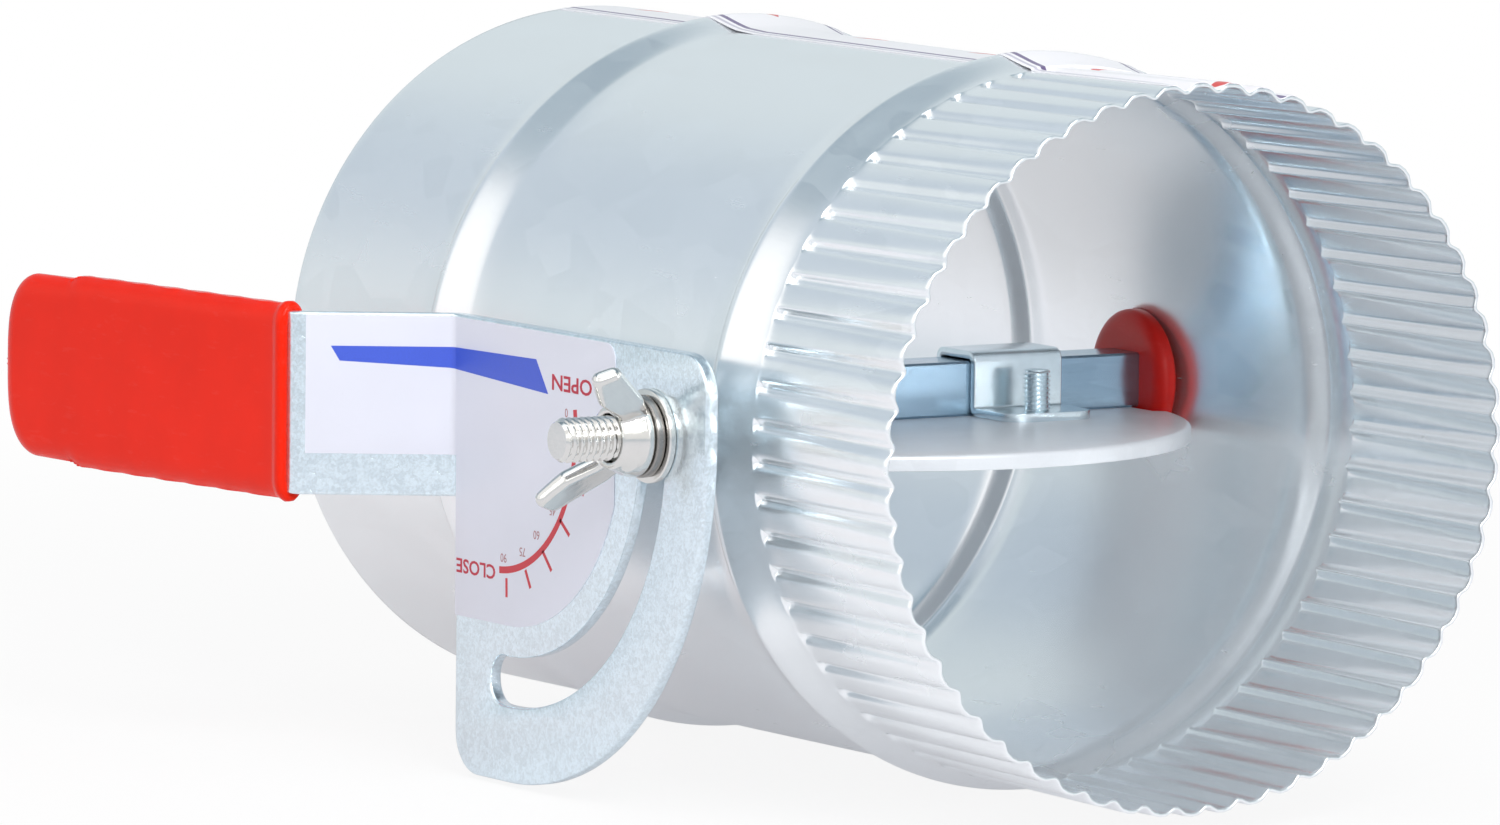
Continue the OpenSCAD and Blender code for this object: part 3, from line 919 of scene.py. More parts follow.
@dataclass
class Clamp:
    """Bolt through the wall, its nut, two washers and the wing nut."""

    x: float = 173.0
    z: float = 0.0
    radius: float = 4.7625
    pitch: float = 1.5875
    thread_depth: float = 0.85
    chamfer: float = 1.2
    tip: float = 110.0
    head_top: float = 69.4
    head: float = 5.8
    flats: float = 14.3
    washer_face: float = 86.8
    washer: float = 1.6
    washer_radius: float = 10.0
    washer_edge: float = 0.35
    spring: float = 2.3
    spring_radius: float = 8.7
    spring_edge: float = 0.4
    spring_run: tuple[float, float] = (95.0, 445.0)
    spring_rise: float = 0.25
    spring_squash: float = 0.88
    backing_nut: tuple[float, float] = (76.4, 83.8)
    nut_face: float = 90.7
    wing_angle: float = 50.0
    wing_half: float = 1.95
    wing_taper: float = 0.35
    melt: float = 0.00032

    @property
    def centre(self) -> tuple[float, float]:
        """Where the stud's axis stands, as X and Z."""
        return self.x, self.z

    def hexagon(self, shell: Shell, low: float, high: float, hole: float | None,
                both: bool) -> None:
        """Hexagon about the stud: its radius is the smaller of the hexagon's outline and a
        cone that cuts the corners at the chamfered ends.

        Args:
            shell: The shell that takes it.
            low: Place of the end nearer the duct's axis, as a distance along -Y.
            high: Place of the other end.
            hole: Radius of the hole, or None.
            both: Whether both ends are chamfered, or the low one alone.
        """
        angle = ring_angles(120)
        depth = np.array([0.0, 0.12, 0.3, 0.6, 1.0, 1.6])
        upper = high - depth[::-1] if both else np.array([high - 0.05, high])
        along = np.concatenate([low + depth, upper])[None, :]
        near = np.minimum(along - low, high - along if both else 1e3)
        cone = self.flats / 2.0 - 0.35 + near * 1.7
        outline = hex_radius(angle, self.flats)
        radius = np.minimum(outline - 0.12 * (outline > self.flats / 2.0 * 1.14), cone)
        if hole is None:
            shell.rod(Axis.Y, self.centre, -along, radius, angle)
            return
        shell.grid(about(Axis.Y, self.centre, -along, radius, angle), True)
        for place, rim in ((low, radius[:, :1]), (high, radius[:, -1:])):
            edge = np.hstack([rim, np.full_like(rim, hole + 0.4)])
            shell.grid(about(Axis.Y, self.centre, -place, edge, angle), True)
        bore = np.array([[low, low + 0.4, high - 0.4, high]])
        inside = np.array([[hole + 0.4, hole, hole, hole + 0.4]])
        shell.grid(about(Axis.Y, self.centre, -bore, inside, angle), True)

    def stud(self) -> bpy.types.Mesh:
        """Hexagon head inside the wall, and a screw thread out to a chamfered tip.

        Returns:
            The stud's mesh.
        """
        shell = Shell()
        self.hexagon(shell, self.head_top, self.head_top + self.head, None, False)
        along, radius, angle = threaded(self.head_top + 0.3, self.tip, self.radius,
                                        self.pitch, self.thread_depth, self.chamfer, 56)
        shell.rod(Axis.Y, self.centre, -along, radius, angle)
        return shell.mesh("threaded_stud", 40.0)

    def nut(self) -> bpy.types.Mesh:
        """Plain nut between the wall and the lever plate."""
        shell = Shell()
        self.hexagon(shell, *self.backing_nut, self.radius + 0.05, True)
        return shell.mesh("backing_nut")

    def flat_ring(self) -> bpy.types.Mesh:
        """Flat washer with rolled edges.

        Returns:
            The washer's mesh.
        """
        along, radius = eased_ring(self.washer_face, self.washer_face + self.washer,
                                   self.radius + 0.3, self.washer_radius,
                                   self.washer_edge)
        ring = about(Axis.Y, self.centre, -along[None, :], radius[None, :], ring_angles(96))
        return Shell().grid(ring, True, True).mesh("stud_washer")

    def split_ring(self) -> bpy.types.Mesh:
        """Spring washer: an eased section carried round all but a narrow split, its ends
        sprung apart by a slight rise along the way round.

        Returns:
            The washer's mesh.
        """
        face = self.washer_face + self.washer
        along, radius = eased_ring(face, face + self.spring, self.radius + 0.35,
                                   self.spring_radius, self.spring_edge)
        turn = np.radians(np.linspace(*self.spring_run, 97))[:, None]
        lift = self.spring_rise * (turn - turn[0]) / (turn[-1] - turn[0])
        squeeze = face + (along[None, :] - face) * self.spring_squash + lift
        ring = about(Axis.Y, self.centre, -squeeze, radius[None, :], turn)
        return Shell().grid(ring, False, True).cap(ring[0]).cap(ring[-1]).mesh("split_washer")

    def wings(self) -> bpy.types.Mesh:
        """Cast wing nut: a tapered hub and two wings, melted together and smoothed.

        Each wing's outline lies in a plane through the stud's axis. Its sides are insets of
        the outline by one less a sine, at a height of a cosine, so that the edge is round.

        Returns:
            The wing nut's mesh.
        """
        shell = Shell()
        hub = np.array([[0.0, 5.15], [0.0, 8.0], [0.35, 8.4], [1.6, 8.5], [3.6, 8.0],
                        [5.6, 7.0], [6.6, 6.7], [7.0, 6.3], [7.0, 5.15]])
        place = self.nut_face + hub[:, 0]
        ring = about(Axis.Y, self.centre, -place[None, :], hub[:, 1][None, :], ring_angles(72))
        shell.grid(ring, True, True)
        wing = np.vstack([arc((18.6, 12.9), 2.0, -40.0, 30.0, 5),
                          arc((17.6, 15.7), 1.7, 30.0, 118.0, 6),
                          [[13.6, 15.3], [11.0, 13.6], [9.2, 11.0], [7.4, 8.2], [5.9, 6.6],
                           [5.5, 3.6], [5.9, 0.8], [8.3, 0.6], [12.0, 3.2], [16.2, 7.6]]])
        steps = np.radians(np.linspace(0.0, 180.0, 13))
        for side in (0.0, np.pi):
            turn = np.radians(self.wing_angle) + side
            rows = []
            for step in steps:
                line = inset(wing, 1.0 - np.sin(step))
                half = self.wing_half \
                    - self.wing_taper * np.clip((line[:, 0] - 9.0) / 12.0, 0.0, 1.0)
                offset = -np.cos(step) * half
                rows.append(np.stack([
                    self.x + line[:, 0] * np.cos(turn) - offset * np.sin(turn),
                    -self.nut_face - line[:, 1],
                    self.z + line[:, 0] * np.sin(turn) + offset * np.cos(turn)], axis=-1))
            grid = np.stack(rows)
            shell.grid(grid, False, True).cap(grid[0]).cap(grid[-1])
        cast = linked(shell.mesh("wing_nut_rough"))
        melt = cast.modifiers.new("melt", "REMESH")
        melt.mode, melt.voxel_size = "VOXEL", self.melt
        ease = cast.modifiers.new("ease", "SMOOTH")
        ease.factor, ease.iterations = 0.5, 7
        return settled(cast, "wing_nut_casting", 80.0)

    def build(self) -> None:
        """Makes the bolt and what is on it."""
        piece(self.stud(), NICKEL, "duct", ["clamp_bolt"])
        piece(self.nut(), BRIGHT_ZINC, "duct", ["stud_nut"])
        piece(self.flat_ring(), NICKEL, "duct", ["flat_washer"])
        piece(self.split_ring(), DARK_STEEL, "lock_washer", ["spring_washer"])
        piece(self.wings(), NICKEL, "lock_nut", ["wing_nut"])


# Shaft, bushings and blade

@dataclass
class BladeGroup:
    """Square shaft in its bushings, with the blade strapped under it."""

    x: float = 114.5
    half: float = 6.0
    near_end: float = -86.8
    far_end: float = 81.2
    hole_gap: float = 0.03
    flange: float = 4.0
    flange_back: float = 73.693
    wall: float = 76.2
    blade_radius: float = 73.0
    blade_sheet: float = 1.2
    blade_bend: float = 1.1
    lip: float = 3.6
    notch_depth: float = 68.9
    notch_half: float = 14.6
    strap_y: float = 37.0
    strap_width: float = 22.5
    strap_sheet: float = 1.8
    strap_bends: tuple[float, float] = (1.5, 1.7)
    foot: float = 15.0
    foot_round: float = 5.0
    lift: float = 0.4
    screw_reach: float = 15.3
    screw_radius: float = 3.0
    screw_top: float = 4.6
    screw_head: float = 3.4
    screw_flats: float = 9.9
    washer_low: float = 2.2
    washer_high: float = 1.2
    washer_radius: float = 6.5

    def bored(self, name: str, along: Array, radius: Array, side: float) -> bpy.types.Mesh:
        """Turned piece with a square hole for the shaft.

        Args:
            name: The mesh's name.
            along: Places of the section's points, as distances from the duct's axis.
            radius: Their radii.
            side: 1 for the far side, -1 for the lever's side.
        Returns:
            The mesh: the section carried round, and joined to the square hole at both ends.
        """
        angle = ring_angles(96)
        hole = square_radius(angle, self.half + self.hole_gap, 0.5)
        outer = np.broadcast_to(radius[None, :], (96, len(radius)))
        place = np.concatenate([[along[0]], along, [along[-1]]])
        reach = np.hstack([hole, outer, hole])
        ring = about(Axis.Y, (self.x, 0.0), side * place[None, :], reach, angle)
        return Shell().grid(ring, True, True).mesh(name, 38.0)

    def bushing(self, name: str, side: float) -> bpy.types.Mesh:
        """Domed flange inside the wall and a hub through it.

        Args:
            name: The mesh's name.
            side: 1 for the far side, -1 for the lever's side.
        Returns:
            The bushing's mesh.
        """
        dome = np.radians(np.linspace(0.0, 90.0, 8))
        face = self.flange_back - self.flange
        along = np.concatenate([[face, face], face + 2.2 * (1.0 - np.cos(dome)),
                                [self.flange_back - 0.3, self.flange_back, self.flange_back,
                                 self.wall + 0.8, self.wall + 1.0]])
        radius = np.concatenate([[8.6, 11.0], 11.5 + 3.5 * np.sin(dome),
                                 [15.0, 14.7, 10.0, 10.0, 9.8]])
        return self.bored(name, along, radius, side)

    def shaft(self) -> bpy.types.Mesh:
        """Square bar with eased edges and chamfered ends.

        Returns:
            The shaft's mesh.
        """
        angle = ring_angles(144)
        along = np.array([[self.near_end, self.near_end + 0.5, self.far_end - 0.6,
                           self.far_end]])
        size = np.array([[self.half - 0.4, self.half, self.half, self.half - 0.5]])
        radius = square_radius(angle, 1.0, 0.06) * size
        shell = Shell().rod(Axis.Y, (self.x, 0.0), along, radius, angle)
        return shell.mesh("square_shaft", 24.0)

    def blade(self) -> bpy.types.Mesh:
        """Disc with a turned-down lip: a section from the middle of the top, round the edge,
        down the lip, up its inside and back to the middle, carried round an outline that is
        a circle cut straight at the two bushings.

        Returns:
            The blade's mesh.
        """
        corner = np.arctan2(self.notch_depth, self.notch_half)
        free = np.arcsin(self.notch_half / self.blade_radius)
        quarter = np.linspace(0.0, np.pi / 2.0 - free, 60)
        notch = np.linspace(corner, np.pi - corner, 25)
        first = np.concatenate([quarter, notch, np.pi - quarter[::-1]])
        angle = np.unique(np.round(np.concatenate([first, first + np.pi]), 9))[:-1][:, None]
        cut = np.minimum(self.notch_depth / np.maximum(np.abs(np.sin(angle)), 1e-6),
                         self.blade_radius)
        reach = np.where(np.abs(np.cos(angle)) * cut <= self.notch_half + 1e-3, cut,
                         self.blade_radius)
        top = -self.half
        bend = np.radians(np.linspace(90.0, 0.0, 6))
        out_r = -self.blade_bend + self.blade_bend * np.cos(bend)
        out_z = top - self.blade_bend + self.blade_bend * np.sin(bend)
        sheet, rim = self.blade_sheet, top - self.lip
        inset_r = np.concatenate([[-60.0, -30.0, -8.0], out_r,
                                  [0.0, -0.12, -0.6, -1.08, -sheet, -sheet, -1.35],
                                  [-8.0, -30.0, -60.0]])
        z = np.concatenate([[top] * 3, out_z,
                            [rim + 0.15, rim + 0.03, rim, rim + 0.03, rim + 0.15],
                            [top - 1.4], [top - sheet] * 4])
        radius = np.maximum(reach + inset_r[None, :], 8.0)
        disc = about(Axis.Z, (self.x, 0.0), z[None, :], radius, angle)
        shell = Shell().grid(disc, True)
        return shell.cap(disc[:, 0]).cap(disc[:, -1]).mesh("blade_disc", 35.0)

    def strap(self, name: str, side: float) -> bpy.types.Mesh:
        """Hat-shaped strap: an eased rectangle carried along the strap's middle line, foot,
        bend, wall, bend and top, with its width rounded off at the ends of the feet.

        Args:
            name: The mesh's name.
            side: 1 for the far strap, -1 for the near one.
        Returns:
            The strap's mesh.
        """
        t, foot_z = self.strap_sheet / 2.0, -self.half + self.strap_sheet / 2.0
        wall, top = self.half + t + 0.05, self.half + self.lift + t
        tip, (low, high) = wall + t + self.foot, self.strap_bends
        run = np.vstack([
            np.stack([np.linspace(-tip, -wall - low, 24), np.full(24, foot_z)], axis=-1),
            arc((-wall - low, foot_z + low), low, -90.0, 0.0, 7)[1:],
            arc((-wall + high, top - high), high, 180.0, 90.0, 7)])
        run = np.vstack([run, run[::-1] * [-1.0, 1.0]])
        step = np.gradient(run, axis=0)
        step /= np.linalg.norm(step, axis=1, keepdims=True)
        normal = np.stack([-step[:, 1], step[:, 0]], axis=-1)
        round_off, half = self.foot_round, self.strap_width / 2.0
        past = np.clip(np.abs(run[:, 0]) - (tip - round_off), 0.0, round_off)
        width = half - round_off + np.sqrt(round_off ** 2 - past ** 2 * 0.998)
        out, up = eased_ring(-1.0, 1.0, -1.0, 1.0, 0.16)
        side_way = np.sign(out) * (width[:, None] - (1.0 - np.abs(out[None, :])) * 2.0)
        middle = run[:, None, :] + normal[:, None, :] * (up * t)[None, :, None]
        grid = np.stack([self.x + middle[..., 0], side * self.strap_y + side_way,
                         middle[..., 1]], axis=-1)
        return Shell().grid(grid, False, True).cap(grid[0]).cap(grid[-1]).mesh(name, 38.0)

    def screw(self, shell: Shell, centre: tuple[float, float]) -> None:
        """Screw with a chamfered hexagon head under the blade and its thread above it.

        Args:
            shell: The shell that takes it.
            centre: X and Y of its axis.
        """
        low, head = -self.half - self.washer_low, self.screw_head
        shell.rod(Axis.Z, centre, *threaded(low, self.screw_top, self.screw_radius, 1.0, 0.5,
                                            0.6, 32))
        turn = ring_angles(72)
        place = low - head + np.array([[0.0, 0.15, 0.4, 0.8, 1.3, 3.3, head]])
        size = np.minimum(hex_radius(turn, self.screw_flats),
                          4.6 + (place - low + head) * 1.7)
        shell.rod(Axis.Z, centre, place, size, turn)

    def build(self) -> None:
        """Makes everything that turns with the shaft inside the duct."""
        piece(self.shaft(), ZINC_BAR, "damper", ["shaft"])
        piece(self.blade(), BLADE_SHEET, "damper", ["blade"])
        for word, side in (("near", -1.0), ("far", 1.0)):
            piece(self.bushing(f"{word}_bushing_moulding", side), RED_NYLON, "damper",
                  [f"{word}_bushing"])
            piece(self.strap(f"{word}_strap_sheet", side), BRIGHT_ZINC, "damper",
                  [f"{word}_strap"])
            shell = Shell()
            for way in (-1.0, 1.0):
                self.screw(shell, (self.x + way * self.screw_reach, side * self.strap_y))
            piece(shell.mesh(f"{word}_hex_screws", 40.0), BRIGHT_ZINC, "damper",
                  [f"{word}_screws"])
        shell = Shell()
        along, radius = eased_ring(-self.half - self.washer_low, -self.half - self.washer_high,
                                   self.screw_radius, self.washer_radius, 0.2)
        for side in (-1.0, 1.0):
            for way in (-1.0, 1.0):
                shell.grid(about(Axis.Z, (self.x + way * self.screw_reach,
                                          side * self.strap_y), along[None, :],
                                 radius[None, :], ring_angles(60)), True, True)
        piece(shell.mesh("blade_screw_washers"), BRIGHT_ZINC, "damper",
              ["screw_washers"])
        spacer = np.array([[77.2, 12.6], [77.6, 13.0], [83.4, 13.0], [83.8, 12.6]])
        piece(self.bored("spacer_ring", spacer[:, 0], spacer[:, 1], -1.0), BRIGHT_ZINC,
              "damper", ["near_spacer"])
        clip = np.array([[77.2, 12.7], [77.3, 13.0], [78.0, 12.9], [78.6, 11.6], [78.7, 9.6]])
        piece(self.bored("push_on_clip", clip[:, 0], clip[:, 1], 1.0), DARK_STEEL, "damper",
              ["far_clip"])


# Lever, grip and scale

@dataclass
class Lever:
    """Lever cut from one plate and bent twice, its dipped grip and its printed scale.

    Flat places are pairs seen from outside: X from the shaft to the right, and Z up. Left of
    the plate's back edge the sheet is unrolled, and fold() bends it.
    """

    shaft_x: float = 114.5
    face: float = -86.8
    plate: float = 3.0
    edge: float = 0.55
    outer_radius: float = 80.3
    back: float = 22.5
    top: float = 18.5
    low: float = 21.0
    corner: float = 9.0
    slot_radius: float = 58.5
    slot_width: float = 10.7
    slot_over: float = 2.5
    bend: float = 2.0
    arm_turn: float = 58.0
    arm: float = 31.0
    grip_turn: float = 7.0
    tang: float = 94.0
    film: float = 0.2
    film_edge: float = 0.03
    grip_length: float = 105.0
    grip_wall: float = 1.4
    grip_step: float = 0.85
    grip_step_run: tuple[float, float] = (77.0, 81.0)
    grip_round: float = 4.6
    hole_half: float = 6.02
    film_right: float = 43.5
    film_reach: float = 46.5
    film_low: float = -12.0
    film_corner: float = 3.5
    ink_depths: tuple[float, float] = (0.03, -0.01)
    scale_centre: tuple[float, float] = (-4.9, -2.3)
    scale_radius: float = 32.5
    scale_run: tuple[float, float] = (-88.0, 8.5)
    band_half: float = 0.75
    tick_half: float = 0.45
    number_height: float = 1.9

    def __post_init__(self) -> None:
        """Works out the lengths of the two bends on the sheet's middle line."""
        self.middle = self.bend + self.plate / 2.0
        self.first = self.middle * np.radians(self.arm_turn)
        self.second = self.middle * np.radians(self.arm_turn - self.grip_turn)
        self.tang_start = self.first + self.arm + self.second

    def fold(self, points: Array) -> Array:
        """Bends the flat sheet: straight, arc, straight, arc back and straight again.

        On an arc the angle is the run over the middle line's radius, and the depth under the
        outer face adds to the first bend's radius and takes from the second's.

        Args:
            points: Flat places with the depth under the outer face as their Y.
        Returns:
            Places in the part's own frame.
        """
        run = -points[:, 0] - self.back
        depth = points[:, 1]
        turn, lean = np.radians(self.arm_turn), np.radians(self.grip_turn)
        along, deep = (-np.cos(turn), -np.sin(turn)), (-np.sin(turn), np.cos(turn))
        inner = self.bend + depth
        outer = self.bend + self.plate - depth
        a = np.clip(run, 0.0, self.first) / self.middle
        x1, y1 = -inner * np.sin(a), -self.bend + inner * np.cos(a)
        arm = np.clip(run - self.first, 0.0, self.arm)
        x2, y2 = x1 + arm * along[0], y1 + arm * along[1]
        cx = (2.0 * self.bend + self.plate) * deep[0] + self.arm * along[0]
        cy = -self.bend + (2.0 * self.bend + self.plate) * deep[1] + self.arm * along[1]
        b = turn - np.clip(run - self.first - self.arm, 0.0, self.second) / self.middle
        x3, y3 = cx + outer * np.sin(b), cy - outer * np.cos(b)
        rest = np.maximum(run - self.tang_start, 0.0)
        x4, y4 = x3 - rest * np.cos(lean), y3 - rest * np.sin(lean)
        late = run > self.first + self.arm
        x = np.where(run < 0.0, -run, np.where(late, x4, x2))
        y = np.where(run < 0.0, depth, np.where(late, y4, y2))
        return np.stack([x + self.shaft_x - self.back, y + self.face, points[:, 2]], axis=-1)

    def bend_cuts(self) -> list[float]:
        """Flat places where the sheet is cut across, so that it can bend."""
        starts = [(0.0, self.first), (self.first + self.arm, self.tang_start)]
        return [float(-self.back - run) for low, high in starts
                for run in np.linspace(low, high, 11)]

    def slab(self, name: str, loops: Sequence[Array], low: float, high: float,
             ease: float) -> bpy.types.Mesh:
        """Sheet between two depths with rounded edges, cut flat and then folded.

        Args:
            name: The mesh's name.
            loops: Outer loop, anticlockwise, and holes, clockwise.
            low: Depth of the outer face under the plate's own, below zero when over it.
            high: Depth of the inner face.
            ease: Radius of the edges.
        Returns:
            The mesh.
        """
        shell = Shell()
        turn = np.radians(np.linspace(0.0, 90.0, 4))
        steps = [(ease * (1.0 - np.sin(t)), low + ease * (1.0 - np.cos(t))) for t in turn]
        steps += [(shift, low + high - depth) for shift, depth in steps[::-1]]
        for loop in loops:
            shell.grid(np.stack([at_depth(inset(loop, shift), depth)
                                 for shift, depth in steps]), False, True)
        for depth in (low, high):
            shell.flat([inset(loop, ease) for loop in loops], depth)
        return shell.mesh(name, 32.0, 0.001, self.bend_cuts(), self.fold)

    def plate_loops(self) -> list[Array]:
        """Outline of the lever, its arc slot and its square hole.

        Returns:
            The three loops as flat pairs, the holes the other way round.
        """
        end = -self.back - self.tang_start - self.tang
        r, c = self.outer_radius, self.corner
        outer = np.vstack([
            [[end, self.top], [end, -self.low], [-self.back - 1.2, -self.low],
             [-self.back, -self.low - 1.2]],
            arc((-self.back + c, -r + c), c, 180.0, 270.0, 10),
            arc((0.0, 0.0), r, -90.0, 0.0, 60),
            arc((r - c, self.top - c), c, 0.0, 90.0, 10)])
        half = self.slot_width / 2.0
        a, b = self.slot_over, -90.0 - self.slot_over
        s = self.slot_radius

        def at(angle: float) -> tuple[float, float]:
            """Point on the slot's centre line."""
            return s * float(np.cos(np.radians(angle))), s * float(np.sin(np.radians(angle)))

        slot = np.vstack([arc((0.0, 0.0), s + half, a, b, 60)[:-1],
                          arc(at(b), half, b, b - 180.0, 14)[:-1],
                          arc((0.0, 0.0), s - half, b, a, 60)[:-1],
                          arc(at(a), half, a + 180.0, a, 14)[:-1]])
        h = self.hole_half
        hole = np.array([[h, h], [h, -h], [-h, -h], [-h, h]])
        return [outer, slot, hole]

    def film_loop(self) -> Array:
        """Outline of the printed scale on the plate, and round the bend on the arm: a quarter
        circle below, a straight right side and a rounded upper corner.

        Returns:
            The loop as flat pairs.
        """
        right, reach, ease, low = self.film_right, self.film_reach, self.film_corner, \
            self.film_low
        upper = self.top - 0.6
        turn = float(np.degrees(np.arccos(right / reach)))
        left = -self.back - self.first - self.arm
        return np.vstack([arc((0.0, 0.0), reach, -90.0, -turn, 24),
                          arc((right - ease, upper - ease), ease, 0.0, 90.0, 8),
                          [[left, upper], [left, low], [-self.back, low],
                           [-self.back, -reach]]])

    def ink(self, name: str, loops: Sequence[Array], finish: Finish) -> None:
        """Prints closed flat shapes on the film as a thin layer of their own.

        Args:
            name: The piece's name.
            loops: The shapes as flat pairs.
            finish: The ink.
        """
        shell = Shell()
        depths = [-self.film - over for over in self.ink_depths]
        for loop in loops:
            for depth in depths:
                shell.flat([loop], depth)
            shell.grid(np.stack([at_depth(loop, depth) for depth in depths]), False, True)
        mesh = shell.mesh(name, 32.0, 0.0005, self.bend_cuts(), self.fold)
        piece(mesh, finish, "damper")

    def words(self, name: str, lines: Sequence[tuple[str, float, float, float]],
              finish: Finish, weight: float = 0.0, width: float | None = None) -> None:
        """Prints words, each turned upside down about its own middle.

        Args:
            name: The piece's name.
            lines: Text, flat X and Z of its middle, and the height of its capitals.
            finish: The ink.
            weight: How much the strokes are thickened, in millimetres.
            width: Width that each word is stretched to, or None.
        """
        shell = Shell()
        for text, x, z, height in lines:
            curve = bpy.data.curves.new(name, "FONT")
            curve.body, curve.size = text, height / 0.70
            curve.align_x, curve.align_y = "CENTER", "CENTER"
            curve.extrude, curve.offset = 0.02, weight
            curve.resolution_u = 3
            holder = linked(curve)
            graph = bpy.context.evaluated_depsgraph_get()
            mesh = bpy.data.meshes.new_from_object(holder.evaluated_get(graph))
            bpy.data.objects.remove(holder)
            points = np.empty(len(mesh.vertices) * 3)
            mesh.vertices.foreach_get("co", points)
            points = points.reshape(-1, 3)
            low, high = points[:, :2].min(axis=0), points[:, :2].max(axis=0)
            flat = (low + high) / 2.0 - points[:, :2]
            if width is not None:
                flat[:, 0] *= width / (high[0] - low[0])
            first = shell.add(np.stack([x + flat[:, 0], -self.film - 0.01 - points[:, 2],
                                        z + flat[:, 1]], axis=-1))
            shell.faces += [[first + i for i in face.vertices] for face in mesh.polygons]
            bpy.data.meshes.remove(mesh)
        piece(shell.mesh(name, 32.0, 0.0005, (), self.fold), finish, "damper")

    def scale(self) -> None:
        """Film, blue bar, red arc with its ticks, and the words and numbers."""
        film = self.slab("scale_film_sheet", [self.film_loop()], -self.film, 0.0,
                         self.film_edge)
        piece(film, SCALE_FILM, "damper", ["scale_label"])
        arm = -self.back - self.first
        bar = np.array([[arm - 25.6, 11.3], [arm - 23.7, 8.1], [-self.back, 6.6],
                        [16.1, 4.8], [11.0, 11.8], [-self.back, 11.3]])
        self.ink("blue_bar_print", [bar], BLUE_INK)
        centre, r, (low, high) = self.scale_centre, self.scale_radius, self.scale_run
        band = np.vstack([arc(centre, r + self.band_half, low, high, 40),
                          arc(centre, r - self.band_half, high, low, 40)])
        shapes = [band]
        for first, last in (((-0.7, -36.3), (-0.6, -40.4)), ((7.2, -33.7), (9.4, -37.4)),
                            ((14.3, -28.9), (18.1, -32.8)), ((21.4, -21.5), (25.4, -24.5)),
                            ((27.0, -13.2), (31.2, -15.2)), ((29.6, -3.0), (33.6, -3.6))):
            a, b = np.array(first), np.array(last)
            side = np.array([-(b - a)[1], (b - a)[0]]) / np.linalg.norm(b - a)
            side *= self.tick_half
            shapes.append(np.array([a - side, b - side, b + side, a + side]))
        self.ink("red_arc_print", shapes, RED_INK)
        self.words("scale_words", [("OPEN", 25.9, 7.6, 3.3), ("CLOSE", -13.7, -35.6, 3.0)],
                   WORD_INK, 0.08, 16.5)
        places = {"90": (-2.0, -32.1), "75": (5.9, -30.0), "60": (11.7, -25.8),
                  "45": (18.3, -20.0), "30": (22.4, -13.0), "15": (24.2, -5.6),
                  "0": (23.7, 1.5)}
        self.words("scale_numbers", [(number, *place, self.number_height)
                                     for number, place in places.items()], FAINT_INK)

    def grip(self) -> bpy.types.Mesh:
        """Dipped sleeve: at each place along the tang a section whose half thickness follows
        a quarter circle of the distance to the sleeve's outline, so that every edge is round.
        The outline narrows a little past the steel and ends in a rounded nose. The mouth
        has a rolled lip, and closes on the tang.

        Returns:
            The sleeve's mesh.
        """
        high = (self.top + self.low) / 2.0 + self.grip_wall
        middle = (self.top - self.low) / 2.0
        thick = self.plate / 2.0 + self.grip_wall
        length, nose = self.grip_length, self.grip_length - self.tang
        step_low, step_high = self.grip_step_run

        def half_height(t: Array) -> Array:
            """Half height: constant, a small step down, and a nose that is a superellipse.

            Args:
                t: Place along the grip, from its mouth.
            Returns:
                Half heights.
            """
            into = np.clip((t - (length - nose)) / nose, 0.0, 1.0)
            return (high - self.grip_step * soft_step(t, step_low, step_high)) \
                * (1.0 - into ** 2.0) ** (1.0 / 3.2)

        nose_runs = length - nose * (1.0 - np.sin(np.linspace(0.0, np.pi / 2.0, 34)))
        t = np.unique(np.concatenate([np.linspace(4.2, step_low - 0.5, 26),
                                      np.linspace(step_low - 0.5, step_high + 0.5, 11),
                                      np.linspace(step_high + 0.5, length - nose, 6),
                                      nose_runs]))
        nose_edge = length - nose * (1.0 - np.sin(np.linspace(0.0, np.pi / 2.0, 160)))
        edge_t = np.concatenate([np.linspace(-20.0, length - nose, 90), nose_edge])
        edge = np.stack([edge_t, half_height(edge_t)], axis=-1)
        v = np.sin(np.linspace(-np.pi / 2.0, np.pi / 2.0, 41))
        v = np.sign(v) * np.abs(v) ** 0.8
        grid_t = t[:, None] + 0.0 * v[None, :]
        grid_z = half_height(t)[:, None] * v[None, :]
        apart = np.min(np.hypot(grid_t[..., None] - edge[:, 0],
                                np.abs(grid_z)[..., None] - edge[:, 1]), axis=-1)
        into = np.clip(apart / self.grip_round, 0.0, 1.0)
        round_off = np.sqrt(np.clip(1.0 - (1.0 - into) ** 2, 0.0, 1.0))
        outline = (np.abs(v) > 1.0 - 1e-9)[None, :] | (grid_t > length - 1e-6)
        w = np.where(outline, 0.0, round_off * thick)
        front = np.stack([grid_t, self.plate / 2.0 - w, middle + grid_z], axis=-1)
        rear = np.stack([grid_t, self.plate / 2.0 + w, middle + grid_z], axis=-1)
        body = np.concatenate([front, rear[:, ::-1]], axis=1)
        mouth = np.array([[0.3, -1.38], [0.05, -1.1], [0.0, -0.7], [0.08, -0.2], [0.34, 0.2],
                          [0.8, 0.48], [1.4, 0.6], [2.0, 0.56], [2.6, 0.4], [3.1, 0.2],
                          [3.6, 0.05]])
        core = body[0] * [0.0, 1.0, 1.0] + [0.0, -self.plate / 2.0, -middle]
        scale_d = (thick + mouth[:, 1]) / thick
        scale_z = (high + mouth[:, 1]) / high
        rings = np.stack([np.broadcast_to(mouth[:, :1], (len(mouth), core.shape[0])),
                          self.plate / 2.0 + core[None, :, 1] * scale_d[:, None],
                          middle + core[None, :, 2] * scale_z[:, None]], axis=-1)
        whole = np.concatenate([rings, body], axis=0)
        whole[..., 0] = -self.back - self.tang_start - whole[..., 0]
        shell = Shell().grid(whole, False, True).cap(whole[0])
        return shell.mesh("grip_sleeve", 40.0, 0.003, (), self.fold)

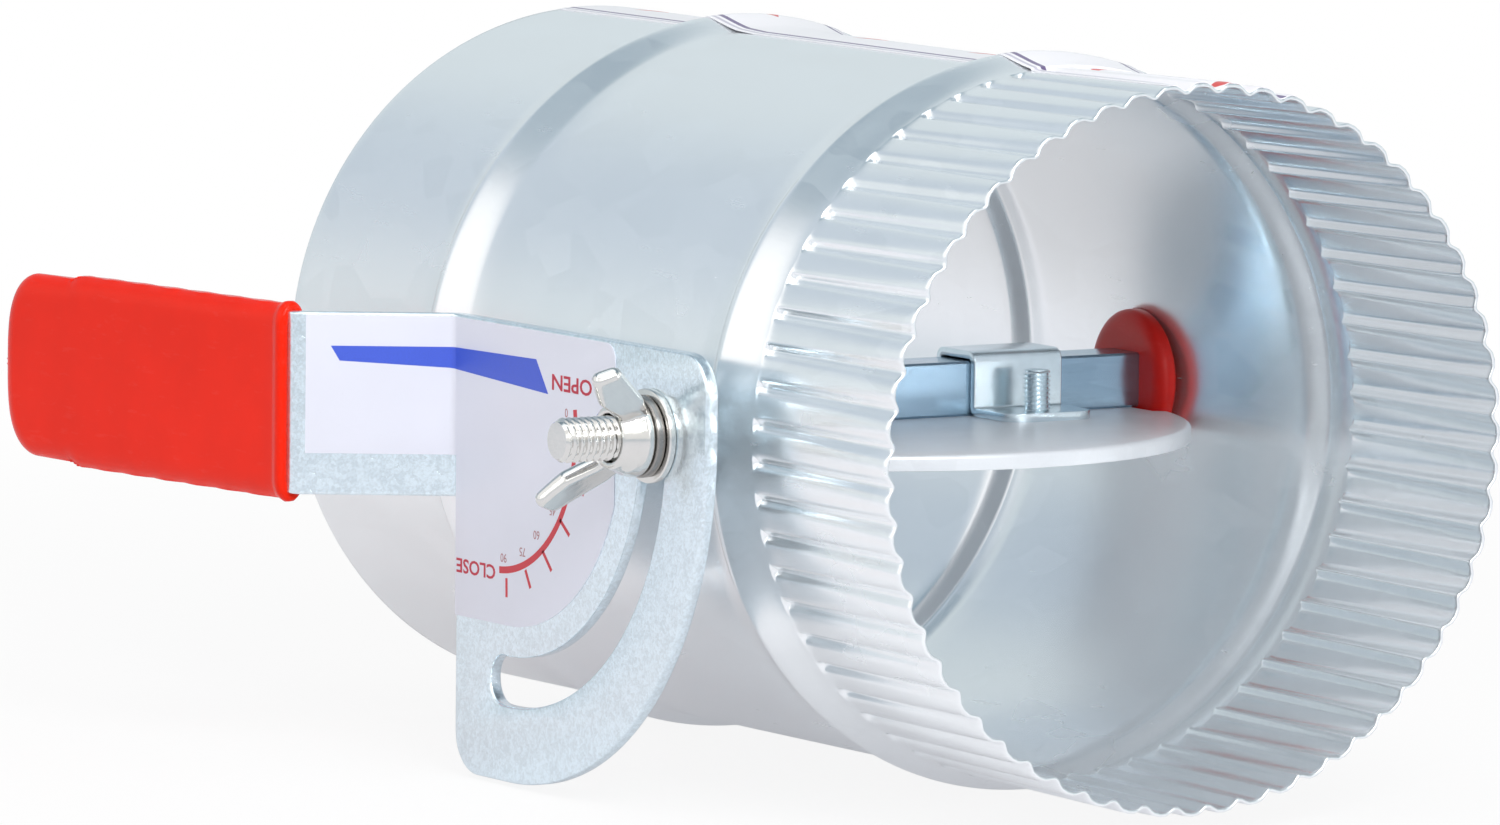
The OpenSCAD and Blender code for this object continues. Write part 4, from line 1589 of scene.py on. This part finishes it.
    def build(self) -> None:
        """Makes the lever, its grip and its scale."""
        lever = self.slab("lever_plate", self.plate_loops(), 0.0, self.plate, self.edge)
        piece(lever, LEVER_ZINC, "damper", ["handle_lever"])
        piece(self.grip(), RED_VINYL, "damper", ["handle_grip"])
        self.scale()


# Studio

@dataclass
class Studio:
    """Camera at the photograph's place, pale floor, white surroundings and soft lamps."""

    azimuth: float = 58.3736
    elevation: float = 5.9567
    roll: float = 0.6071
    lens: float = 299.156
    place: tuple[float, float, float] = (2.39399, -1.43055, 0.27594)
    floor_z: float = -0.0812
    screen_radius: float = 4.0
    screen_turn: tuple[float, float] = (20.0, 255.0)
    screen_pale: tuple[float, float, float, float] = (0.66, 0.73, 0.76, 1.0)
    screen_dark: tuple[float, float, float, float] = (0.49, 0.57, 0.65, 1.0)
    screen_white: tuple[float, float, float, float] = (1.14, 1.14, 1.14, 1.0)
    screen_slate: tuple[float, float, float, float] = (0.26, 0.35, 0.42, 1.0)

    def camera(self) -> None:
        """Turns the camera by its azimuth, elevation and roll."""
        a, e, r = np.radians([self.azimuth, self.elevation, self.roll])
        back = np.array([np.sin(a) * np.cos(e), -np.cos(a) * np.cos(e), np.sin(e)])
        right = np.cross([0.0, 0.0, 1.0], back)
        right /= np.linalg.norm(right)
        up = np.cross(back, right)
        axes = np.stack([np.cos(r) * right + np.sin(r) * up,
                         np.cos(r) * up - np.sin(r) * right, back], axis=1)
        data = bpy.data.cameras.new("photo_camera")
        data.lens, data.sensor_width, data.sensor_fit = self.lens, 36.0, "HORIZONTAL"
        data.clip_start, data.clip_end = 0.05, 60.0
        made = linked(data)
        made.matrix_world = Matrix.Translation(self.place) @ Matrix(axes.tolist()).to_4x4()
        bpy.context.scene.camera = made

    def floor(self) -> None:
        """Wide pale floor: lit paper near the part, plain white far away, and in reflections a
        painted glow that greys away from the part.
        """
        size = 9.0
        mesh = bpy.data.meshes.new("floor")
        mesh.from_pydata([(-size, -size, self.floor_z), (size, -size, self.floor_z),
                          (size, size, self.floor_z), (-size, size, self.floor_z)], [],
                         [(0, 1, 2, 3)])
        material = bpy.data.materials.new("studio_paper")
        g = Graph(material)
        away = g.node("ShaderNodeVectorMath", {"operation": "LENGTH"}, {0: g.place()}, "Value")
        mirrored = g.ray("Is Glossy Ray").larger(g.ray("Is Transmission Ray"))
        white = (g.ray("Is Camera Ray") * (0.88 + 0.12 * away.ramp(0.25, 0.75))) \
            .larger(mirrored * (0.3 + 0.7 * away.ramp(0.14, 0.45)))
        paper = g.node("ShaderNodeBsdfDiffuse", {}, {"Color": (0.86, 0.86, 0.87, 1.0)})
        # Painted reflection: mirrors see the floor glow pale lavender near the part and
        # grey-blue far away, the camera sees it white.
        pale = g.mix(away.ramp(0.35, 1.3), shade((250, 250, 255)), shade((212, 220, 228)))
        glow = g.node("ShaderNodeEmission", {}, {"Color": g.mix(mirrored, (1, 1, 1, 1), pale)})
        g.surface(g.node("ShaderNodeMixShader", {}, {0: white, 1: paper, 2: glow}))
        mesh.materials.append(material)
        linked(mesh)

    def screen(self) -> None:
        """Grey screen that only reflections see, round the left side, behind and overhead.

        Its points lie on a sphere about the part, between two angles round and two heights.
        Each direction has its glow, a painted reflection that lights nothing: pale grey-blue
        with a darker band at middle height on the left, slate overhead, and white towards the
        lever's side.
        """
        turn = np.radians(np.linspace(*self.screen_turn, 71))[:, None]
        rise = np.radians(np.linspace(-2.0, 88.0, 31))[None, :]
        grid = about(Axis.Z, (0.0, 0.0), self.screen_radius * np.sin(rise),
                     self.screen_radius * np.cos(rise), turn)
        mesh = bpy.data.meshes.new("grey_screen")
        index = np.arange(grid.shape[0] * grid.shape[1]).reshape(grid.shape[:2])
        mesh.from_pydata(grid.reshape(-1, 3), [], quads(index))
        made = linked(mesh)
        for kind in ("camera", "diffuse", "transmission", "shadow", "volume_scatter"):
            setattr(made, f"visible_{kind}", False)
        # The screen's glow is painted reflection for the metal: the camera, diffuse light and
        # shadows pass it by.
        material = bpy.data.materials.new("grey_screen_glow")
        g = Graph(material)
        aim = g.node("ShaderNodeVectorMath", {"operation": "NORMALIZE"}, {0: g.place()},
                     "Vector")
        x, y, z = (g.part(aim, side) for side in "XYZ")
        dip = z.ramp(0.12, 0.42) * (1.0 - y.ramp(-0.25, 0.15))
        colour = g.mix(dip, self.screen_pale, self.screen_dark)
        colour = g.mix((x * 0.6 - y).ramp(0.08, 0.34), colour, self.screen_white)
        colour = g.mix(z.ramp(0.60, 0.76), colour, self.screen_slate)
        g.surface(g.node("ShaderNodeEmission", {}, {"Color": colour}))
        mesh.materials.append(material)

    def world(self) -> None:
        """White where it is seen or mirrored, and a plain level of light elsewhere."""
        world = bpy.data.worlds.new("white_room")
        bpy.context.scene.world = world
        g = Graph(world)
        seen = g.ray("Is Camera Ray").larger(g.ray("Is Glossy Ray")) \
            .larger(g.ray("Is Transmission Ray"))
        g.surface(g.node("ShaderNodeBackground", {}, {"Color": (1, 1, 1, 1),
                                                      "Strength": 0.55 + seen * 0.45}),
                  "ShaderNodeOutputWorld")

    def lamp(self, name: str, place: Sequence[float], size: float, power: float) -> None:
        """Soft square lamp that faces the part.

        Args:
            name: The lamp's name.
            place: Where it stands, in metres.
            size: Its side, in metres.
            power: Its power, in watts.
        """
        data = bpy.data.lights.new(name, "AREA")
        data.shape, data.size, data.energy = "SQUARE", size, power
        made = linked(data)
        made.location = place
        aim = Vector((0.11, 0.0, 0.0)) - Vector(place)
        made.rotation_euler = aim.to_track_quat("-Z", "Y").to_euler()

    def build(self) -> None:
        """Sets up the view, the floor, the room and the lamps."""
        bpy.context.scene.view_settings.view_transform = "Standard"
        self.camera()
        self.floor()
        self.world()
        self.screen()
        self.lamp("top_light", (0.3, -0.4, 1.6), 1.6, 7.0)
        self.lamp("front_light", (0.3, -2.0, 0.9), 1.2, 3.5)
        self.lamp("camera_light", (2.2, -1.5, 1.3), 1.2, 4.0)
        self.lamp("mouth_light", (1.4, -0.3, 0.85), 0.6, 12.0)


def main() -> None:
    """Builds the studio and each sub-assembly."""
    logging.basicConfig(level=logging.INFO, format="%(name)s: %(message)s")
    for part in (Studio(), Duct(), Clamp(), BladeGroup(), Lever()):
        log.info("building %s", type(part).__name__)
        part.build()


if __name__ == "__main__":
    main()
